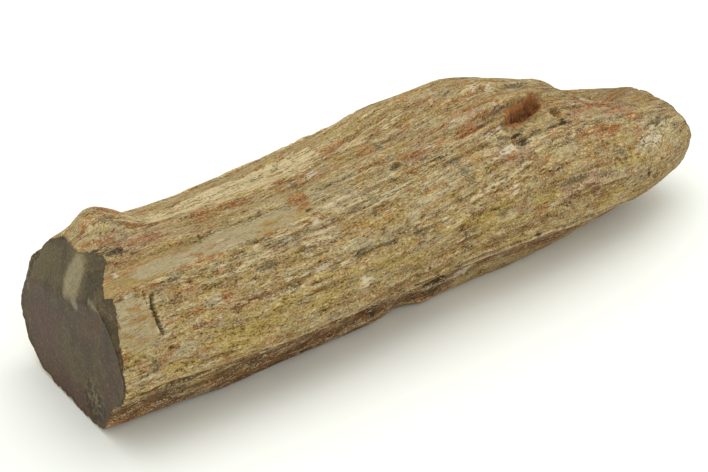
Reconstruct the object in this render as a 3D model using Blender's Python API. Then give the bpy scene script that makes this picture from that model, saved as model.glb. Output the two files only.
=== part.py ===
"""A petrified wood log: a length of limb turned to stone, lying on its side.

Metres, +Z up. +X runs along the grain, from the flat broken end to the tapered end. The origin is on the
surface that the log rests on, under the middle of its box. The shape is worked out in millimetres, and angles
round the log are counted up from its front: 0 is the front (-Y), 90 the top, 180 the back, 270 underneath.
"""

import math
from typing import NamedTuple

import bmesh
import bpy
from mathutils import Matrix, Vector, noise

MM = 0.001

# Driving dimensions, in millimetres
LENGTH = 340
FLOOR = 0
SQUARENESS = 2.2

# The grain: past FAN_STARTS its upper lines veer back, by up to FAN degrees a millimetre past FAN_STEADY
FAN = 0.27
FAN_MIDDLE = 70
FAN_STARTS = -20
FAN_STEADY = 60

# Weathering: the height, length and spacing of the ridges along the grain, and of the slow waves
RIDGE_HEIGHT = 1.6
RIDGE_LENGTH = 62
RIDGES_ROUND = 4.6
FINER = 2.1
WAVE_HEIGHT = 1.8
WAVE_LENGTH = 48

# The mesh: rings across the limb and lines of points along its grain, closest round CROWDED_AT degrees
RINGS = 62
POINTS_ROUND = 72
CROWDED_AT = 40
CROWDING = 18
OVERRUN = 10
WELD = 0.25
SHARP = 35

# How steeply a rounded rise or furrow falls off towards its half width
FALL_OFF = 1.4

STONE_COLOUR = (0.36, 0.25, 0.13, 1)
STONE_ROUGHNESS = 0.72


class Section(NamedTuple):
    """One cross-section of the limb: its place along X and the box that holds it."""

    along: float
    front: float
    back: float
    low: float
    high: float


SECTIONS = (
    Section(-190, -63, 28, -0.5, 68),
    Section(-120, -63, 33, -0.5, 68),
    Section(-60, -62, 35, -0.5, 71),
    Section(0, -60, 37, -0.5, 77),
    Section(45, -59, 38, -0.5, 80),
    Section(90, -56, 36, 1, 69),
    Section(135, -49, 31, 6, 55),
    Section(190, -30, 20, 13, 40),
)


class Swell(NamedTuple):
    """A rounded rise (or, with a negative height, a hollow): its middle, its half lengths and its height."""

    along: float
    around: float
    half_along: float
    half_around: float
    height: float


SWELLS = {
    "knob over the flat end": Swell(-143, 122, 13, 20, 9.2),
    "dip behind the knob": Swell(-118, 120, 14, 20, -1.5),
    "crest of the back": Swell(42, 116, 46, 30, 4.2),
    "rise before the crest": Swell(2, 118, 18, 22, 3.0),
    "end of the crest": Swell(98, 106, 14, 22, 3.2),
    "saddle past the crest": Swell(130, 112, 26, 28, -8.4),
    "shoulder of the tapered end": Swell(163, 100, 15, 30, 3.6),
    "foot of the flat end": Swell(-170, 216, 40, 26, 5.0),
    "corner of the flat end": Swell(-170, 176, 30, 11, -2.4),
    "smooth patch by the flat end": Swell(-159, 31, 10, 12, 1.2),
    "pit beside the hollow": Swell(81, 50, 5, 4, -2.5),
    "pit below the hollow": Swell(49, 41, 6, 4, -3.0),
    "rise before the tapered end": Swell(138, 40, 24, 14, 1.6),
    "belly of the front": Swell(-70, 5, 60, 24, 2.0),
    "flat of the back": Swell(-30, 185, 110, 26, -3.5),
    "rib low on the back": Swell(10, 228, 130, 12, 3.0),
    "gouge in the back": Swell(62, 160, 34, 8, -4.0),
}


class Ledge(NamedTuple):
    """A split along the grain, where the skin above stands proud: its ends, grain angle, height and fade."""

    start: float
    end: float
    grain: float
    height: float
    fade: float


LEDGES = {
    "edge of the smooth shelf": Ledge(-168, -30, 44, 2.4, 24),
    "ledge above the shelf": Ledge(-140, -10, 68, 1.4, 16),
    "long ledge of the front": Ledge(-118, 96, 12, 1.6, 14),
    "lower ledge of the front": Ledge(-10, 168, 2, 1.3, 12),
    "ledge over the hollow": Ledge(18, 124, 64, 1.8, 16),
    "ledge near the tapered end": Ledge(78, 168, 27, 1.6, 12),
    "split along the back": Ledge(-150, 120, 150, 2.4, 22),
    "lower split of the back": Ledge(-165, 60, 202, 2.0, 18),
    "short split of the back": Ledge(0, 150, 184, 1.8, 16),
}
LEDGE_END_FADE = 14


class Furrow(NamedTuple):
    """A furrow along the grain: its ends, the grain angle at each, its half width in degrees and its depth."""

    start: float
    end: float
    start_grain: float
    end_grain: float
    half_width: float
    depth: float


FURROWS = {
    "rusty hollow": Furrow(38, 80, 46, 59, 7, 8.0),
    "crack that runs into the hollow": Furrow(-8, 44, 46, 45, 3.5, 2.4),
    "crack above the hollow": Furrow(12, 46, 56, 58, 4, 2.0),
    "crack beside the hollow": Furrow(44, 100, 35, 39, 4, 2.4),
    "long furrow of the front": Furrow(-82, 26, 38, 35, 4, 2.2),
    "lower furrow of the front": Furrow(-66, 56, 23, 22, 4, 1.8),
    "furrow of the top": Furrow(-120, 10, 82, 82, 5, 1.8),
    "furrow behind the crest": Furrow(-40, 110, 120, 120, 5, 2.2),
    "upper furrow of the back": Furrow(-160, -10, 172, 172, 5, 2.2),
    "lower furrow of the back": Furrow(-40, 140, 196, 196, 5, 2.0),
}
FURROW_END_FADE = 10


class Flank(NamedTuple):
    """The flank below the front: its upper edge's angle, how deep it is undercut, and the lip at its foot."""

    along: float
    edge: float
    depth: float
    lip: float


FLANK = (
    Flank(-190, -11, 8.0, -2.0),
    Flank(-120, -11, 7.0, 4.4),
    Flank(-60, -12, 6.5, 4.4),
    Flank(0, -17, 5.0, 6.2),
    Flank(60, -19, 3.5, 5.6),
    Flank(92, -18, 2.8, 5.2),
    Flank(120, -16, 2.0, 1.2),
    Flank(190, -10, 0.5, 0.0),
)
LIP_BELOW_EDGE = 40
LIP_HALF_SPAN = 12
EDGE_ROUNDING = 5
NOTCHES = (
    Swell(-44, -34, 5, 9, -4.0),
    Swell(-19, -50, 8, 15, -4.0),
    Swell(-3, -24, 7, 7, -3.0),
    Swell(128, -6, 4, 7, -1.5),
)


class Break(NamedTuple):
    """A flat break across the limb: a point on it, and the way it faces."""

    through: tuple
    facing: tuple


BREAKS = {
    "flat end": Break((-LENGTH / 2, 0, 0), (-1, 0, 0)),
    "upper facet of the flat end": Break((-LENGTH / 2, 4, 48), (-0.854, 0.14, 0.50)),
    "chip at the back of the flat end": Break((-LENGTH / 2, 22, 42), (-0.80, 0.50, 0.33)),
    "tapered end": Break((LENGTH / 2, 0, 0), (1, 0, 0)),
    "upper bevel of the tapered end": Break((160, -12, 54), (0.66, 0.10, 0.74)),
    "lower bevel of the tapered end": Break((160, -34, 22), (0.74, -0.12, -0.66)),
    "back bevel of the tapered end": Break((160, 18, 30), (0.70, 0.70, 0.14)),
}


def between(rows, along):
    """The values of a list of rows at a place along X, on smooth curves through the rows."""
    found = max(i for i in range(len(rows) - 1) if rows[i].along <= along or i == 0)
    before, here, there, after = (rows[min(max(i, 0), len(rows) - 1)] for i in range(found - 1, found + 3))
    span = there.along - here.along
    t = (along - here.along) / span

    def hermite(a, b, c, d):
        leaving = (c - a) / max(there.along - before.along, 1) * span
        arriving = (d - b) / max(after.along - here.along, 1) * span
        return (
            (2 * t**3 - 3 * t**2 + 1) * b
            + (t**3 - 2 * t**2 + t) * leaving
            + (3 * t**2 - 2 * t**3) * c
            + (t**3 - t**2) * arriving
        )

    return tuple(hermite(*values) for values in zip(before[1:], here[1:], there[1:], after[1:]))


def apart(degrees, other):
    """How far one angle is past another, from -180 to 180."""
    return (degrees - other + 180) % 360 - 180


def swell_height(swell, along, degrees):
    """What one swell adds at a place on the skin."""
    reach = ((along - swell.along) / swell.half_along) ** 2
    reach += (apart(degrees, swell.around) / swell.half_around) ** 2
    return swell.height * math.exp(-FALL_OFF * reach)


def ledge_height(ledge, along, grain):
    """What one ledge adds at a place on the skin: most just above its line, less further up, nothing below."""
    above = apart(grain, ledge.grain)
    if not ledge.start < along < ledge.end or not 0 <= above < ledge.fade:
        return 0
    ends = min(1, (along - ledge.start) / LEDGE_END_FADE, (ledge.end - along) / LEDGE_END_FADE)
    return ledge.height * ends * (1 - above / ledge.fade)


def furrow_depth(furrow, along, grain):
    """How deep one furrow is at a place on the skin."""
    share = (along - furrow.start) / (furrow.end - furrow.start)
    if not 0 < share < 1:
        return 0
    aside = apart(grain, furrow.start_grain + share * (furrow.end_grain - furrow.start_grain))
    ends = min(1, (along - furrow.start) / FURROW_END_FADE, (furrow.end - along) / FURROW_END_FADE)
    return furrow.depth * ends * math.exp(-FALL_OFF * (aside / furrow.half_width) ** 2)


def flank_relief(along, degrees):
    """The undercut, sharp at the front's lower edge and fading below it, and the lip that it ends on."""
    edge, depth, lip = between(FLANK, along)
    below = apart(edge, degrees)
    relief = lip * math.exp(-(((below - LIP_BELOW_EDGE) / LIP_HALF_SPAN) ** 2))
    if 0 < below < LIP_BELOW_EDGE:
        relief -= depth * min(1, below / EDGE_ROUNDING) * (1 - (below / LIP_BELOW_EDGE) ** 2)
    return relief


def grain_relief(along, grain, point):
    """Fibre bundles weathered into low ridges along the grain, and a slower waviness."""
    turn = math.radians(grain)
    place = Vector((along / RIDGE_LENGTH, RIDGES_ROUND * math.cos(turn), RIDGES_ROUND * math.sin(turn)))
    ridges = noise.noise(place) + 0.6 * noise.noise(place * FINER + Vector((7, 3, 1)))
    waves = noise.noise(point / WAVE_LENGTH + Vector((3, 5, 2)))
    return RIDGE_HEIGHT * ridges + WAVE_HEIGHT * waves


def around(along, grain):
    """The angle round the log at which a line of grain lies: past the middle, the upper grain veers back."""
    if along < FAN_STARTS:
        return grain
    run = min(along, FAN_STEADY) - FAN_STARTS
    turned = run**2 / 2 / (FAN_STEADY - FAN_STARTS) + max(0, along - FAN_STEADY)
    aside = apart(grain, FAN_MIDDLE)
    if abs(aside) >= 90:
        return grain
    return grain + FAN * turned * math.cos(math.radians(aside)) ** 2


def skin_point(along, grain):
    """A point of the limb's skin, in millimetres, on a line of grain."""
    degrees = around(along, grain)
    front, back, low, high = between(SECTIONS, along)
    half_wide, half_high = (back - front) / 2, (high - low) / 2
    turn = math.radians(degrees)
    out, up = -math.cos(turn), math.sin(turn)
    reach = (abs(out) / half_wide) ** SQUARENESS + (abs(up) / half_high) ** SQUARENESS
    radius = reach ** (-1 / SQUARENESS)
    middle = Vector((along, (front + back) / 2, (low + high) / 2))
    spoke = Vector((0, out, up))
    radius += grain_relief(along, grain, middle + spoke * radius)
    radius += sum(swell_height(swell, along, degrees) for swell in (*SWELLS.values(), *NOTCHES))
    radius += sum(ledge_height(ledge, along, grain) for ledge in LEDGES.values())
    radius -= sum(furrow_depth(furrow, along, grain) for furrow in FURROWS.values())
    radius += flank_relief(along, degrees)
    point = middle + spoke * radius
    point.z = max(point.z, FLOOR)
    return point


def line_of_grain(j):
    """The grain angle of one line of points: the lines are closest on the upper front, where most shows."""
    even = 360 * j / POINTS_ROUND
    return even - CROWDING * math.sin(math.radians(even - CROWDED_AT))


def limb():
    """The limb as one closed tube, longer than the log at both ends."""
    mesh = bmesh.new()
    rings = []
    for i in range(RINGS):
        along = -LENGTH / 2 - OVERRUN + i * (LENGTH + 2 * OVERRUN) / (RINGS - 1)
        rings.append([mesh.verts.new(skin_point(along, line_of_grain(j))) for j in range(POINTS_ROUND)])
    for ring, following in zip(rings, rings[1:]):
        for j in range(POINTS_ROUND):
            k = (j + 1) % POINTS_ROUND
            mesh.faces.new((ring[j], ring[k], following[k], following[j]))
    mesh.faces.new(rings[0][::-1])
    mesh.faces.new(rings[-1])
    return mesh


def snap_off(mesh, broken):
    """Takes away what lies past a break, and closes the mesh with the break's flat face."""
    cut = bmesh.ops.bisect_plane(
        mesh,
        geom=mesh.verts[:] + mesh.edges[:] + mesh.faces[:],
        dist=WELD / 10,
        plane_co=broken.through,
        plane_no=Vector(broken.facing).normalized(),
        clear_outer=True,
    )
    rim = [item for item in cut["geom_cut"] if isinstance(item, bmesh.types.BMEdge)]
    bmesh.ops.contextual_create(mesh, geom=rim)


def make_log():
    """The log: the limb broken to length, standing on its own underside, as one object."""
    mesh = limb()
    for broken in BREAKS.values():
        snap_off(mesh, broken)
    bmesh.ops.remove_doubles(mesh, verts=mesh.verts, dist=WELD)
    bmesh.ops.triangulate(mesh, faces=mesh.faces)
    bmesh.ops.recalc_face_normals(mesh, faces=mesh.faces)
    places = [vertex.co for vertex in mesh.verts]
    centre = [(min(p[i] for p in places) + max(p[i] for p in places)) / 2 for i in range(2)]
    bmesh.ops.translate(mesh, verts=mesh.verts, vec=(-centre[0], -centre[1], 0))
    bmesh.ops.transform(mesh, matrix=Matrix.Scale(MM, 4), verts=mesh.verts)
    data = bpy.data.meshes.new("petrified_log")
    mesh.to_mesh(data)
    mesh.free()
    data.shade_smooth()
    data.set_sharp_from_angle(angle=math.radians(SHARP))
    log = bpy.data.objects.new("petrified_log", data)
    log.data.materials.append(stone())
    bpy.context.scene.collection.objects.link(log)
    return log


def stone():
    """Silicified wood, tan and ochre, dull."""
    material = bpy.data.materials.new("petrified_wood")
    material.use_nodes = True
    shader = material.node_tree.nodes["Principled BSDF"]
    shader.inputs["Base Color"].default_value = STONE_COLOUR
    shader.inputs["Roughness"].default_value = STONE_ROUGHNESS
    return material


def main():
    """Clears the scene and makes the log."""
    for item in list(bpy.data.objects):
        bpy.data.objects.remove(item)
    make_log()


main()
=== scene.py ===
"""The looks of a petrified wood log: its weathered surface, its finish, and the studio that shows it.

The frame's solid gives the log its form. A fine skin is laid over that form, on lines that follow the grain
of the wood, and closed by the broken faces at both ends. Fibres, ledges, cracks, pits and chips are raised or
cut in that skin. The tones of the stone are painted by nodes, from noise stretched along the grain and from
marks with a place and a size. Shade is painted too: in splits, cracks, pits and the hollow, and on sunk
points of the skin, with highlight painted on its raised points.

Lengths on the log are in millimetres, and angles are in degrees, counted up from the front: 0 is the front
(-Y), 90 the top, 180 the back and 270 underneath. A grain angle names a line of grain by its angle at the
flat end.
"""

from __future__ import annotations

import itertools
import logging
import math
from dataclasses import dataclass, field
from enum import Enum
from typing import Optional, Sequence, Union

import bpy
import numpy as np
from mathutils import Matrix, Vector
from mathutils.bvhtree import BVHTree

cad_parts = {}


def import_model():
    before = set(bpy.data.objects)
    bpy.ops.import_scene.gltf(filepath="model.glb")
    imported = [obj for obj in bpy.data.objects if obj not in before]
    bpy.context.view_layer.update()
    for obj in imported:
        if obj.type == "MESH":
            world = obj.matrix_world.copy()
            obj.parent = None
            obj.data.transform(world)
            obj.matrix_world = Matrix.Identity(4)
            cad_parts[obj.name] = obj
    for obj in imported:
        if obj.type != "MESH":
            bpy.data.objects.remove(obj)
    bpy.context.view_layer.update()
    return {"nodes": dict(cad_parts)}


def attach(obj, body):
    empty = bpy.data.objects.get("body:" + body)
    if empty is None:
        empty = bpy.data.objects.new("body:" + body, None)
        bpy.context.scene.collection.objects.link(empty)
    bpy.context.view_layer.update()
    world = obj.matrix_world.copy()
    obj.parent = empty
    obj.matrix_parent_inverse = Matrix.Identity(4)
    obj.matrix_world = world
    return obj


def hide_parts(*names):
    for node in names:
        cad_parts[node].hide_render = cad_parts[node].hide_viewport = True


Array = np.ndarray
MM = 0.001
NODE = "petrified_log"

log = logging.getLogger("petrified_wood")


class Tone(Enum):
    """The tones of the stone and the studio, as they look in daylight, in sRGB."""

    STRAW = (162, 136, 88)
    HONEY = (178, 151, 80)
    OCHRE = (136, 106, 62)
    CREAM = (220, 199, 156)
    UMBER = (80, 56, 32)
    RUST = (160, 99, 50)
    BRICK = (114, 72, 44)
    ROSE = (172, 138, 110)
    ASH = (176, 160, 126)
    SLATE = (98, 90, 66)
    # The darkest stone, which also paints shade in splits, cracks, pits and the hollow.
    DARK_STONE_AND_SHADE = (54, 43, 27)
    CHALK = (220, 210, 186)
    FACE = (78, 60, 41)
    FACE_MAROON = (84, 55, 42)
    FACE_OLIVE = (98, 86, 57)
    FACE_TAN = (158, 145, 112)
    FACE_DARK = (54, 46, 33)
    PAPER = (250, 250, 248)

    @property
    def linear(self) -> tuple[float, float, float, float]:
        """The tone as a linear colour with alpha, as shaders take it.

        Returns:
            Red, green, blue and alpha, from 0 to 1.
        """
        shares = [part / 255 for part in self.value]
        curved = [s / 12.92 if s <= 0.04045 else ((s + 0.055) / 1.055) ** 2.4 for s in shares]
        return (*curved, 1.0)

    @property
    def mark(self) -> str:
        """The name under which the mesh stores how much each point takes the tone."""
        return f"mark_{self.name.lower()}"


def smoothstep(values: Array) -> Array:
    """Eases values from 0 to 1 in and out, and holds them there outside."""
    held = np.clip(values, 0, 1)
    return held * held * (3 - 2 * held)


def even(values: Array) -> Array:
    """Values moved and scaled to a mean of 0 and a spread of 1."""
    return (values - values.mean()) / values.std()


def apart(degrees: Array, other: Union[Array, float]) -> Array:
    """How far angles are past another, from -180 to 180."""
    return (degrees - other + 180) % 360 - 180


class Noise:
    """Smooth gradient noise in three dimensions, worked out for whole arrays of places at once."""

    SPAN = 256
    GAIN = 1.7
    FINER = 2.1
    SHIFT = 17.3

    def __init__(self, seed: int) -> None:
        """Draws the lattice's slopes.

        Args:
            seed: the number that this noise grows from.
        """
        draw = np.random.default_rng(seed)
        self.order = draw.permutation(self.SPAN)
        slopes = draw.normal(size=(self.SPAN, 3))
        self.slopes = slopes / np.linalg.norm(slopes, axis=1, keepdims=True)

    def at(self, places: Array) -> Array:
        """The noise at places.

        Args:
            places: an array of points, one row each.

        Returns:
            One value from about -1 to 1 for each point.
        """
        cell = np.floor(places).astype(int)
        inside = places - cell
        ease = inside**3 * (inside * (inside * 6 - 15) + 10)
        total = np.zeros(len(places))
        for corner in itertools.product((0, 1), repeat=3):
            step = np.array(corner)
            x, y, z = ((cell + step) % self.SPAN).T
            key = self.order[(self.order[(self.order[x] + y) % self.SPAN] + z) % self.SPAN]
            slope = (self.slopes[key] * (inside - step)).sum(axis=1)
            total += slope * np.where(step, ease, 1 - ease).prod(axis=1)
        return total * self.GAIN

    def layered(self, places: Array, layers: int, fainter: float = 0.55) -> Array:
        """Sums layers of the noise, each finer and fainter than the one before.

        Args:
            places: an array of points, one row each.
            layers: how many layers.
            fainter: how much of its strength each layer keeps.

        Returns:
            One value from about -1 to 1 for each point.
        """
        total = np.zeros(len(places))
        strength, whole = 1.0, 0.0
        for layer in range(layers):
            total += strength * self.at(places * self.FINER**layer + self.SHIFT * layer)
            whole += strength
            strength *= fainter
        return total / whole


@dataclass(frozen=True)
class Fan:
    """How the grain runs: straight from the flat end, then its upper lines veer to the back of the log."""

    rate: float = 0.27
    middle: float = 70
    starts: float = -20
    steady: float = 60

    def around(self, along: Array, grain: Array) -> Array:
        """The angle round the log at which lines of grain lie.

        Args:
            along: places along the log.
            grain: grain angles.

        Returns:
            An angle for each place.
        """
        run = np.clip(along, self.starts, self.steady) - self.starts
        turned = run**2 / 2 / (self.steady - self.starts) + np.maximum(0, along - self.steady)
        aside = np.clip(apart(grain, self.middle), -90, 90)
        return grain + self.rate * turned * np.cos(np.radians(aside)) ** 2


@dataclass
class Skin:
    """Places on the log, one for each point of its mesh; share is how far out each lies on a broken face."""

    along: Array
    grain: Array
    share: Array

    RADIUS = 40.0

    @property
    def stretched(self) -> Array:
        """The places in grain space: along, and round a cylinder whose girth is like the log's.

        Returns:
            An array of places, one row each.
        """
        turn = np.radians(self.grain)
        reach = self.RADIUS * self.share
        return np.stack((self.along, reach * np.cos(turn), reach * np.sin(turn)), axis=1)

    def scaled(self, length: float, width: float) -> Array:
        """Grain space measured in units of a length along the grain and a width across it."""
        return self.stretched / np.array((length, width, width))


@dataclass(frozen=True)
class Texture:
    """One size of roughness: its height, its length along the grain, its width across it, and its layers."""

    height: float
    length: float
    width: float
    layers: int = 1

    def at(self, skin: Skin, noise: Noise) -> Array:
        """The texture's noise at each place, about from -1 to 1."""
        return noise.layered(skin.scaled(self.length, self.width), self.layers)

    def relief(self, skin: Skin, noise: Noise) -> Array:
        """How far the texture stands out at each place."""
        return self.height * self.at(skin, noise)


@dataclass(frozen=True)
class Plane:
    """A flat break at an end of the log: the way it faces, and how far out it lies that way."""

    normal: tuple[float, float, float]
    offset: float

    def beyond(self, points: Array) -> Array:
        """How far points lie past the break."""
        return points @ np.array(self.normal) - self.offset

    def along(self, points: Array) -> Array:
        """Where along the log the break lies, at the Y and Z of points."""
        x, y, z = self.normal
        return (self.offset - y * points[:, 1] - z * points[:, 2]) / x


class Form:
    """The form that the frame's solid gives: a middle line, a smooth reach around it, and the breaks."""

    STEP_ALONG = 2.0
    STEP_AROUND = 2.5
    END_GAP = 0.4
    SMOOTH_ALONG = 1.5
    SMOOTH_AROUND = 1.1
    SLICE = 8.0
    MIDDLE_SMOOTH = 6.0
    FACING_ENDS = 0.5
    SMALLEST_BREAK = 40.0
    SAME_WAY = 0.9995
    SAME_PLANE = 0.15
    FAR = 500.0

    def __init__(self, solid: bpy.types.Object) -> None:
        """Reads the solid.

        Args:
            solid: the frame's object for the log.
        """
        mesh = solid.data
        mesh.calc_loop_triangles()
        self.points = np.array([vertex.co for vertex in mesh.vertices]) / MM
        self.faces = np.array([triangle.vertices for triangle in mesh.loop_triangles])
        self.low, self.high = self.points.min(axis=0), self.points.max(axis=0)
        self.breaks, self.broken = self._find_breaks()
        self.stations = np.arange(self.low[0] + self.END_GAP, self.high[0], self.STEP_ALONG)
        self.angles = np.arange(0, 360, self.STEP_AROUND)
        self.middle = self._middle_line()
        self.reach = self._smooth_reach()

    def _find_breaks(self) -> tuple[list[Plane], Array]:
        """Finds the flat faces at the ends.

        Returns:
            The planes of the breaks, and for each triangle whether it lies in one.
        """
        corners = self.points[self.faces]
        cross = np.cross(corners[:, 1] - corners[:, 0], corners[:, 2] - corners[:, 0])
        size = np.linalg.norm(cross, axis=1)
        normals = cross / np.maximum(size, 1e-9)[:, None]
        offsets = (normals * corners.mean(axis=1)).sum(axis=1)
        facing = np.abs(normals[:, 0]) > self.FACING_ENDS
        left = [i for i in np.argsort(-size) if facing[i]]
        planes, broken = [], np.zeros(len(self.faces), bool)
        while left:
            first = left[0]
            same = [
                i for i in left
                if normals[i] @ normals[first] > self.SAME_WAY
                and abs(offsets[i] - offsets[first]) < self.SAME_PLANE
            ]
            if size[same].sum() / 2 > self.SMALLEST_BREAK:
                planes.append(Plane(tuple(normals[first]), float(offsets[first])))
                broken[same] = True
            left = [i for i in left if i not in set(same)]
        return planes, broken

    def _middle_line(self) -> Array:
        """The middle of the solid's box at each station, smoothed along the log.

        Returns:
            How far across and up the middle lies, one row for each station.
        """
        middles = []
        for station in self.stations:
            near = self.points[np.abs(self.points[:, 0] - station) < self.SLICE]
            middles.append((near.min(axis=0) + near.max(axis=0))[1:] / 2)
        return blurred(np.array(middles), self.MIDDLE_SMOOTH, 0)

    def _smooth_reach(self) -> Array:
        """How far the solid reaches from the middle line, with its facets smoothed away.

        Returns:
            A reach for each station and angle.
        """
        tree = BVHTree.FromPolygons(self.points.tolist(), self.faces.tolist())
        reach = np.full((len(self.stations), len(self.angles)), np.nan)
        for i, station in enumerate(self.stations):
            middle = Vector((station, *self.middle[i]))
            for j, angle in enumerate(self.angles):
                turn = math.radians(angle)
                spoke = Vector((0, -math.cos(turn), math.sin(turn)))
                hit = tree.ray_cast(middle, spoke, self.FAR)
                if hit[0] is not None and not self.broken[hit[2]]:
                    reach[i, j] = hit[3]
        for line in reach.T:
            known = np.nonzero(~np.isnan(line))[0]
            line[:] = np.interp(np.arange(len(line)), known, line[known])
        return blurred(blurred(reach, self.SMOOTH_ALONG, 0), self.SMOOTH_AROUND, 1, wraps=True)

    def points_at(self, along: Array, around: Array, raised: Union[Array, float] = 0.0) -> Array:
        """Points on the smooth form.

        Args:
            along: places along the log.
            around: angles round it.
            raised: how far each point stands out from the form.

        Returns:
            An array of points, one row each.
        """
        rows = np.clip((along - self.stations[0]) / self.STEP_ALONG, 0, len(self.stations) - 1.001)
        lines = (around % 360) / self.STEP_AROUND
        i, j = rows.astype(int), lines.astype(int) % len(self.angles)
        down, over = rows - i, lines - np.floor(lines)
        k = (j + 1) % len(self.angles)
        near = self.reach[i, j] * (1 - over) + self.reach[i, k] * over
        far = self.reach[i + 1, j] * (1 - over) + self.reach[i + 1, k] * over
        reach = near * (1 - down) + far * down + raised
        middle = self.middle[i] * (1 - down)[:, None] + self.middle[i + 1] * down[:, None]
        turn = np.radians(around)
        return np.stack(
            (along, middle[:, 0] - reach * np.cos(turn), middle[:, 1] + reach * np.sin(turn)), axis=1
        )

    def breaks_at(self, side: int) -> list[Plane]:
        """The breaks at the flat end (side -1) or the tapered end (side 1)."""
        return [plane for plane in self.breaks if plane.normal[0] * side > 0]

    def beyond(self, points: Array, side: int) -> Array:
        """How far points lie past the breaks at one end; below 0 is inside all of them."""
        return np.max([plane.beyond(points) for plane in self.breaks_at(side)], axis=0)

    def end_along(self, points: Array, side: int) -> Array:
        """Where along the log its end lies, at the Y and Z of points."""
        planes = [plane.along(points) for plane in self.breaks_at(side)]
        return np.min(planes, axis=0) if side > 0 else np.max(planes, axis=0)


def blurred(values: Array, spread: float, axis: int, wraps: bool = False) -> Array:
    """Smooths a grid along one of its axes.

    Args:
        values: the grid.
        spread: how far the smoothing reaches, in steps of the grid.
        axis: which axis to smooth along.
        wraps: whether that axis runs round the log.

    Returns:
        The smoothed grid.
    """
    reach = math.ceil(3 * spread)
    weights = np.exp(-0.5 * (np.arange(-reach, reach + 1) / spread) ** 2)
    moved = np.moveaxis(values, axis, 0)
    padded = np.pad(moved, [(reach, reach)] + [(0, 0)] * (moved.ndim - 1), mode="wrap" if wraps else "edge")
    total = sum(weight * padded[k:k + len(moved)] for k, weight in enumerate(weights))
    return np.moveaxis(total / weights.sum(), 0, axis)


@dataclass(frozen=True)
class Ledge:
    """A split along the grain, where the skin above stands proud: its ends, grain angle, height and fade."""

    start: float
    end: float
    grain: float
    height: float
    fade: float = 14.0

    END_FADE = 12.0
    RISE = 1.2

    def relief(self, skin: Skin, wander: Array) -> Array:
        """What the ledge adds to the skin, where its line wanders by so many degrees.

        Args:
            skin: places on the skin.
            wander: how far, in degrees, lines along the grain stray at each place.

        Returns:
            A height for each place.
        """
        above = apart(skin.grain, self.grain) - wander
        ends = np.clip(np.minimum(skin.along - self.start, self.end - skin.along) / self.END_FADE, 0, 1)
        profile = smoothstep(above / self.RISE) * np.clip(1 - above / self.fade, 0, 1)
        return self.height * ends * profile


@dataclass(frozen=True)
class Furrow:
    """A furrow along the grain: its ends, their grain angles, its half width in degrees and its depth."""

    start: float
    end: float
    start_grain: float
    end_grain: float
    half_width: float
    depth: float
    end_fade: float = 6.0
    steepness: float = 4.0

    NARROWEST = 0.4

    def cover(self, skin: Skin, wander: Array) -> Array:
        """How much each place lies in the furrow, from 0 to 1, where its line wanders by so many degrees.

        Args:
            skin: places on the skin.
            wander: how far, in degrees, lines along the grain stray at each place.

        Returns:
            A share from 0 to 1 for each place.
        """
        share = np.clip((skin.along - self.start) / (self.end - self.start), 0, 1)
        line = self.start_grain + share * (self.end_grain - self.start_grain)
        narrowing = self.NARROWEST + (1 - self.NARROWEST) * np.sin(math.pi * share) ** 0.5
        aside = (apart(skin.grain, line) - wander) / (self.half_width * narrowing)
        ends = np.clip(np.minimum(skin.along - self.start, self.end - skin.along) / self.end_fade, 0, 1)
        return smoothstep(ends) * np.exp(-(np.abs(aside) ** self.steepness))


@dataclass(frozen=True)
class Patch:
    """A rounded patch of the skin: its middle, its half length along the grain and half width across it."""

    along: float
    grain: float
    half_along: float
    half_grain: float
    strength: float = 1.0

    REACH = 1.35
    RAGGED = 0.45
    SOFT = 0.5

    def cover(self, skin: Skin, wander: Array) -> Array:
        """How much each place lies in the patch, from 0 to its strength, where its border wanders.

        Args:
            skin: places on the skin.
            wander: how far the border strays at each place.

        Returns:
            A share from 0 to the strength for each place.
        """
        reach = ((skin.along - self.along) / self.half_along) ** 2
        reach = reach + (apart(skin.grain, self.grain) / self.half_grain) ** 2
        return self.strength * smoothstep((self.REACH - np.sqrt(reach) + self.RAGGED * wander) / self.SOFT)


@dataclass(frozen=True)
class Blot:
    """A rounded patch of the flat end: its middle across the log and up it, its half sizes and its lean."""

    across: float
    up: float
    half_across: float
    half_up: float
    lean: float = 0.0
    strength: float = 1.0

    REACH = 1.3
    RAGGED = 0.3
    SOFT = 0.6

    def cover(self, points: Array, wander: Array) -> Array:
        """How much each point lies in the blot, from 0 to its strength, where its border wanders.

        Args:
            points: places in space, one row each.
            wander: how far the border strays at each point.

        Returns:
            A share from 0 to the strength for each point.
        """
        turn = math.radians(self.lean)
        across, up = points[:, 1] - self.across, points[:, 2] - self.up
        first = (across * math.cos(turn) + up * math.sin(turn)) / self.half_across
        second = (up * math.cos(turn) - across * math.sin(turn)) / self.half_up
        inside = self.REACH - np.hypot(first, second) + self.RAGGED * wander
        return self.strength * smoothstep(inside / self.SOFT)


def patches(*rows: tuple[float, ...]) -> tuple[Patch, ...]:
    """Patches from rows of numbers: place along, grain angle, half length, half width and strength."""
    return tuple(Patch(*row) for row in rows)


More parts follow.
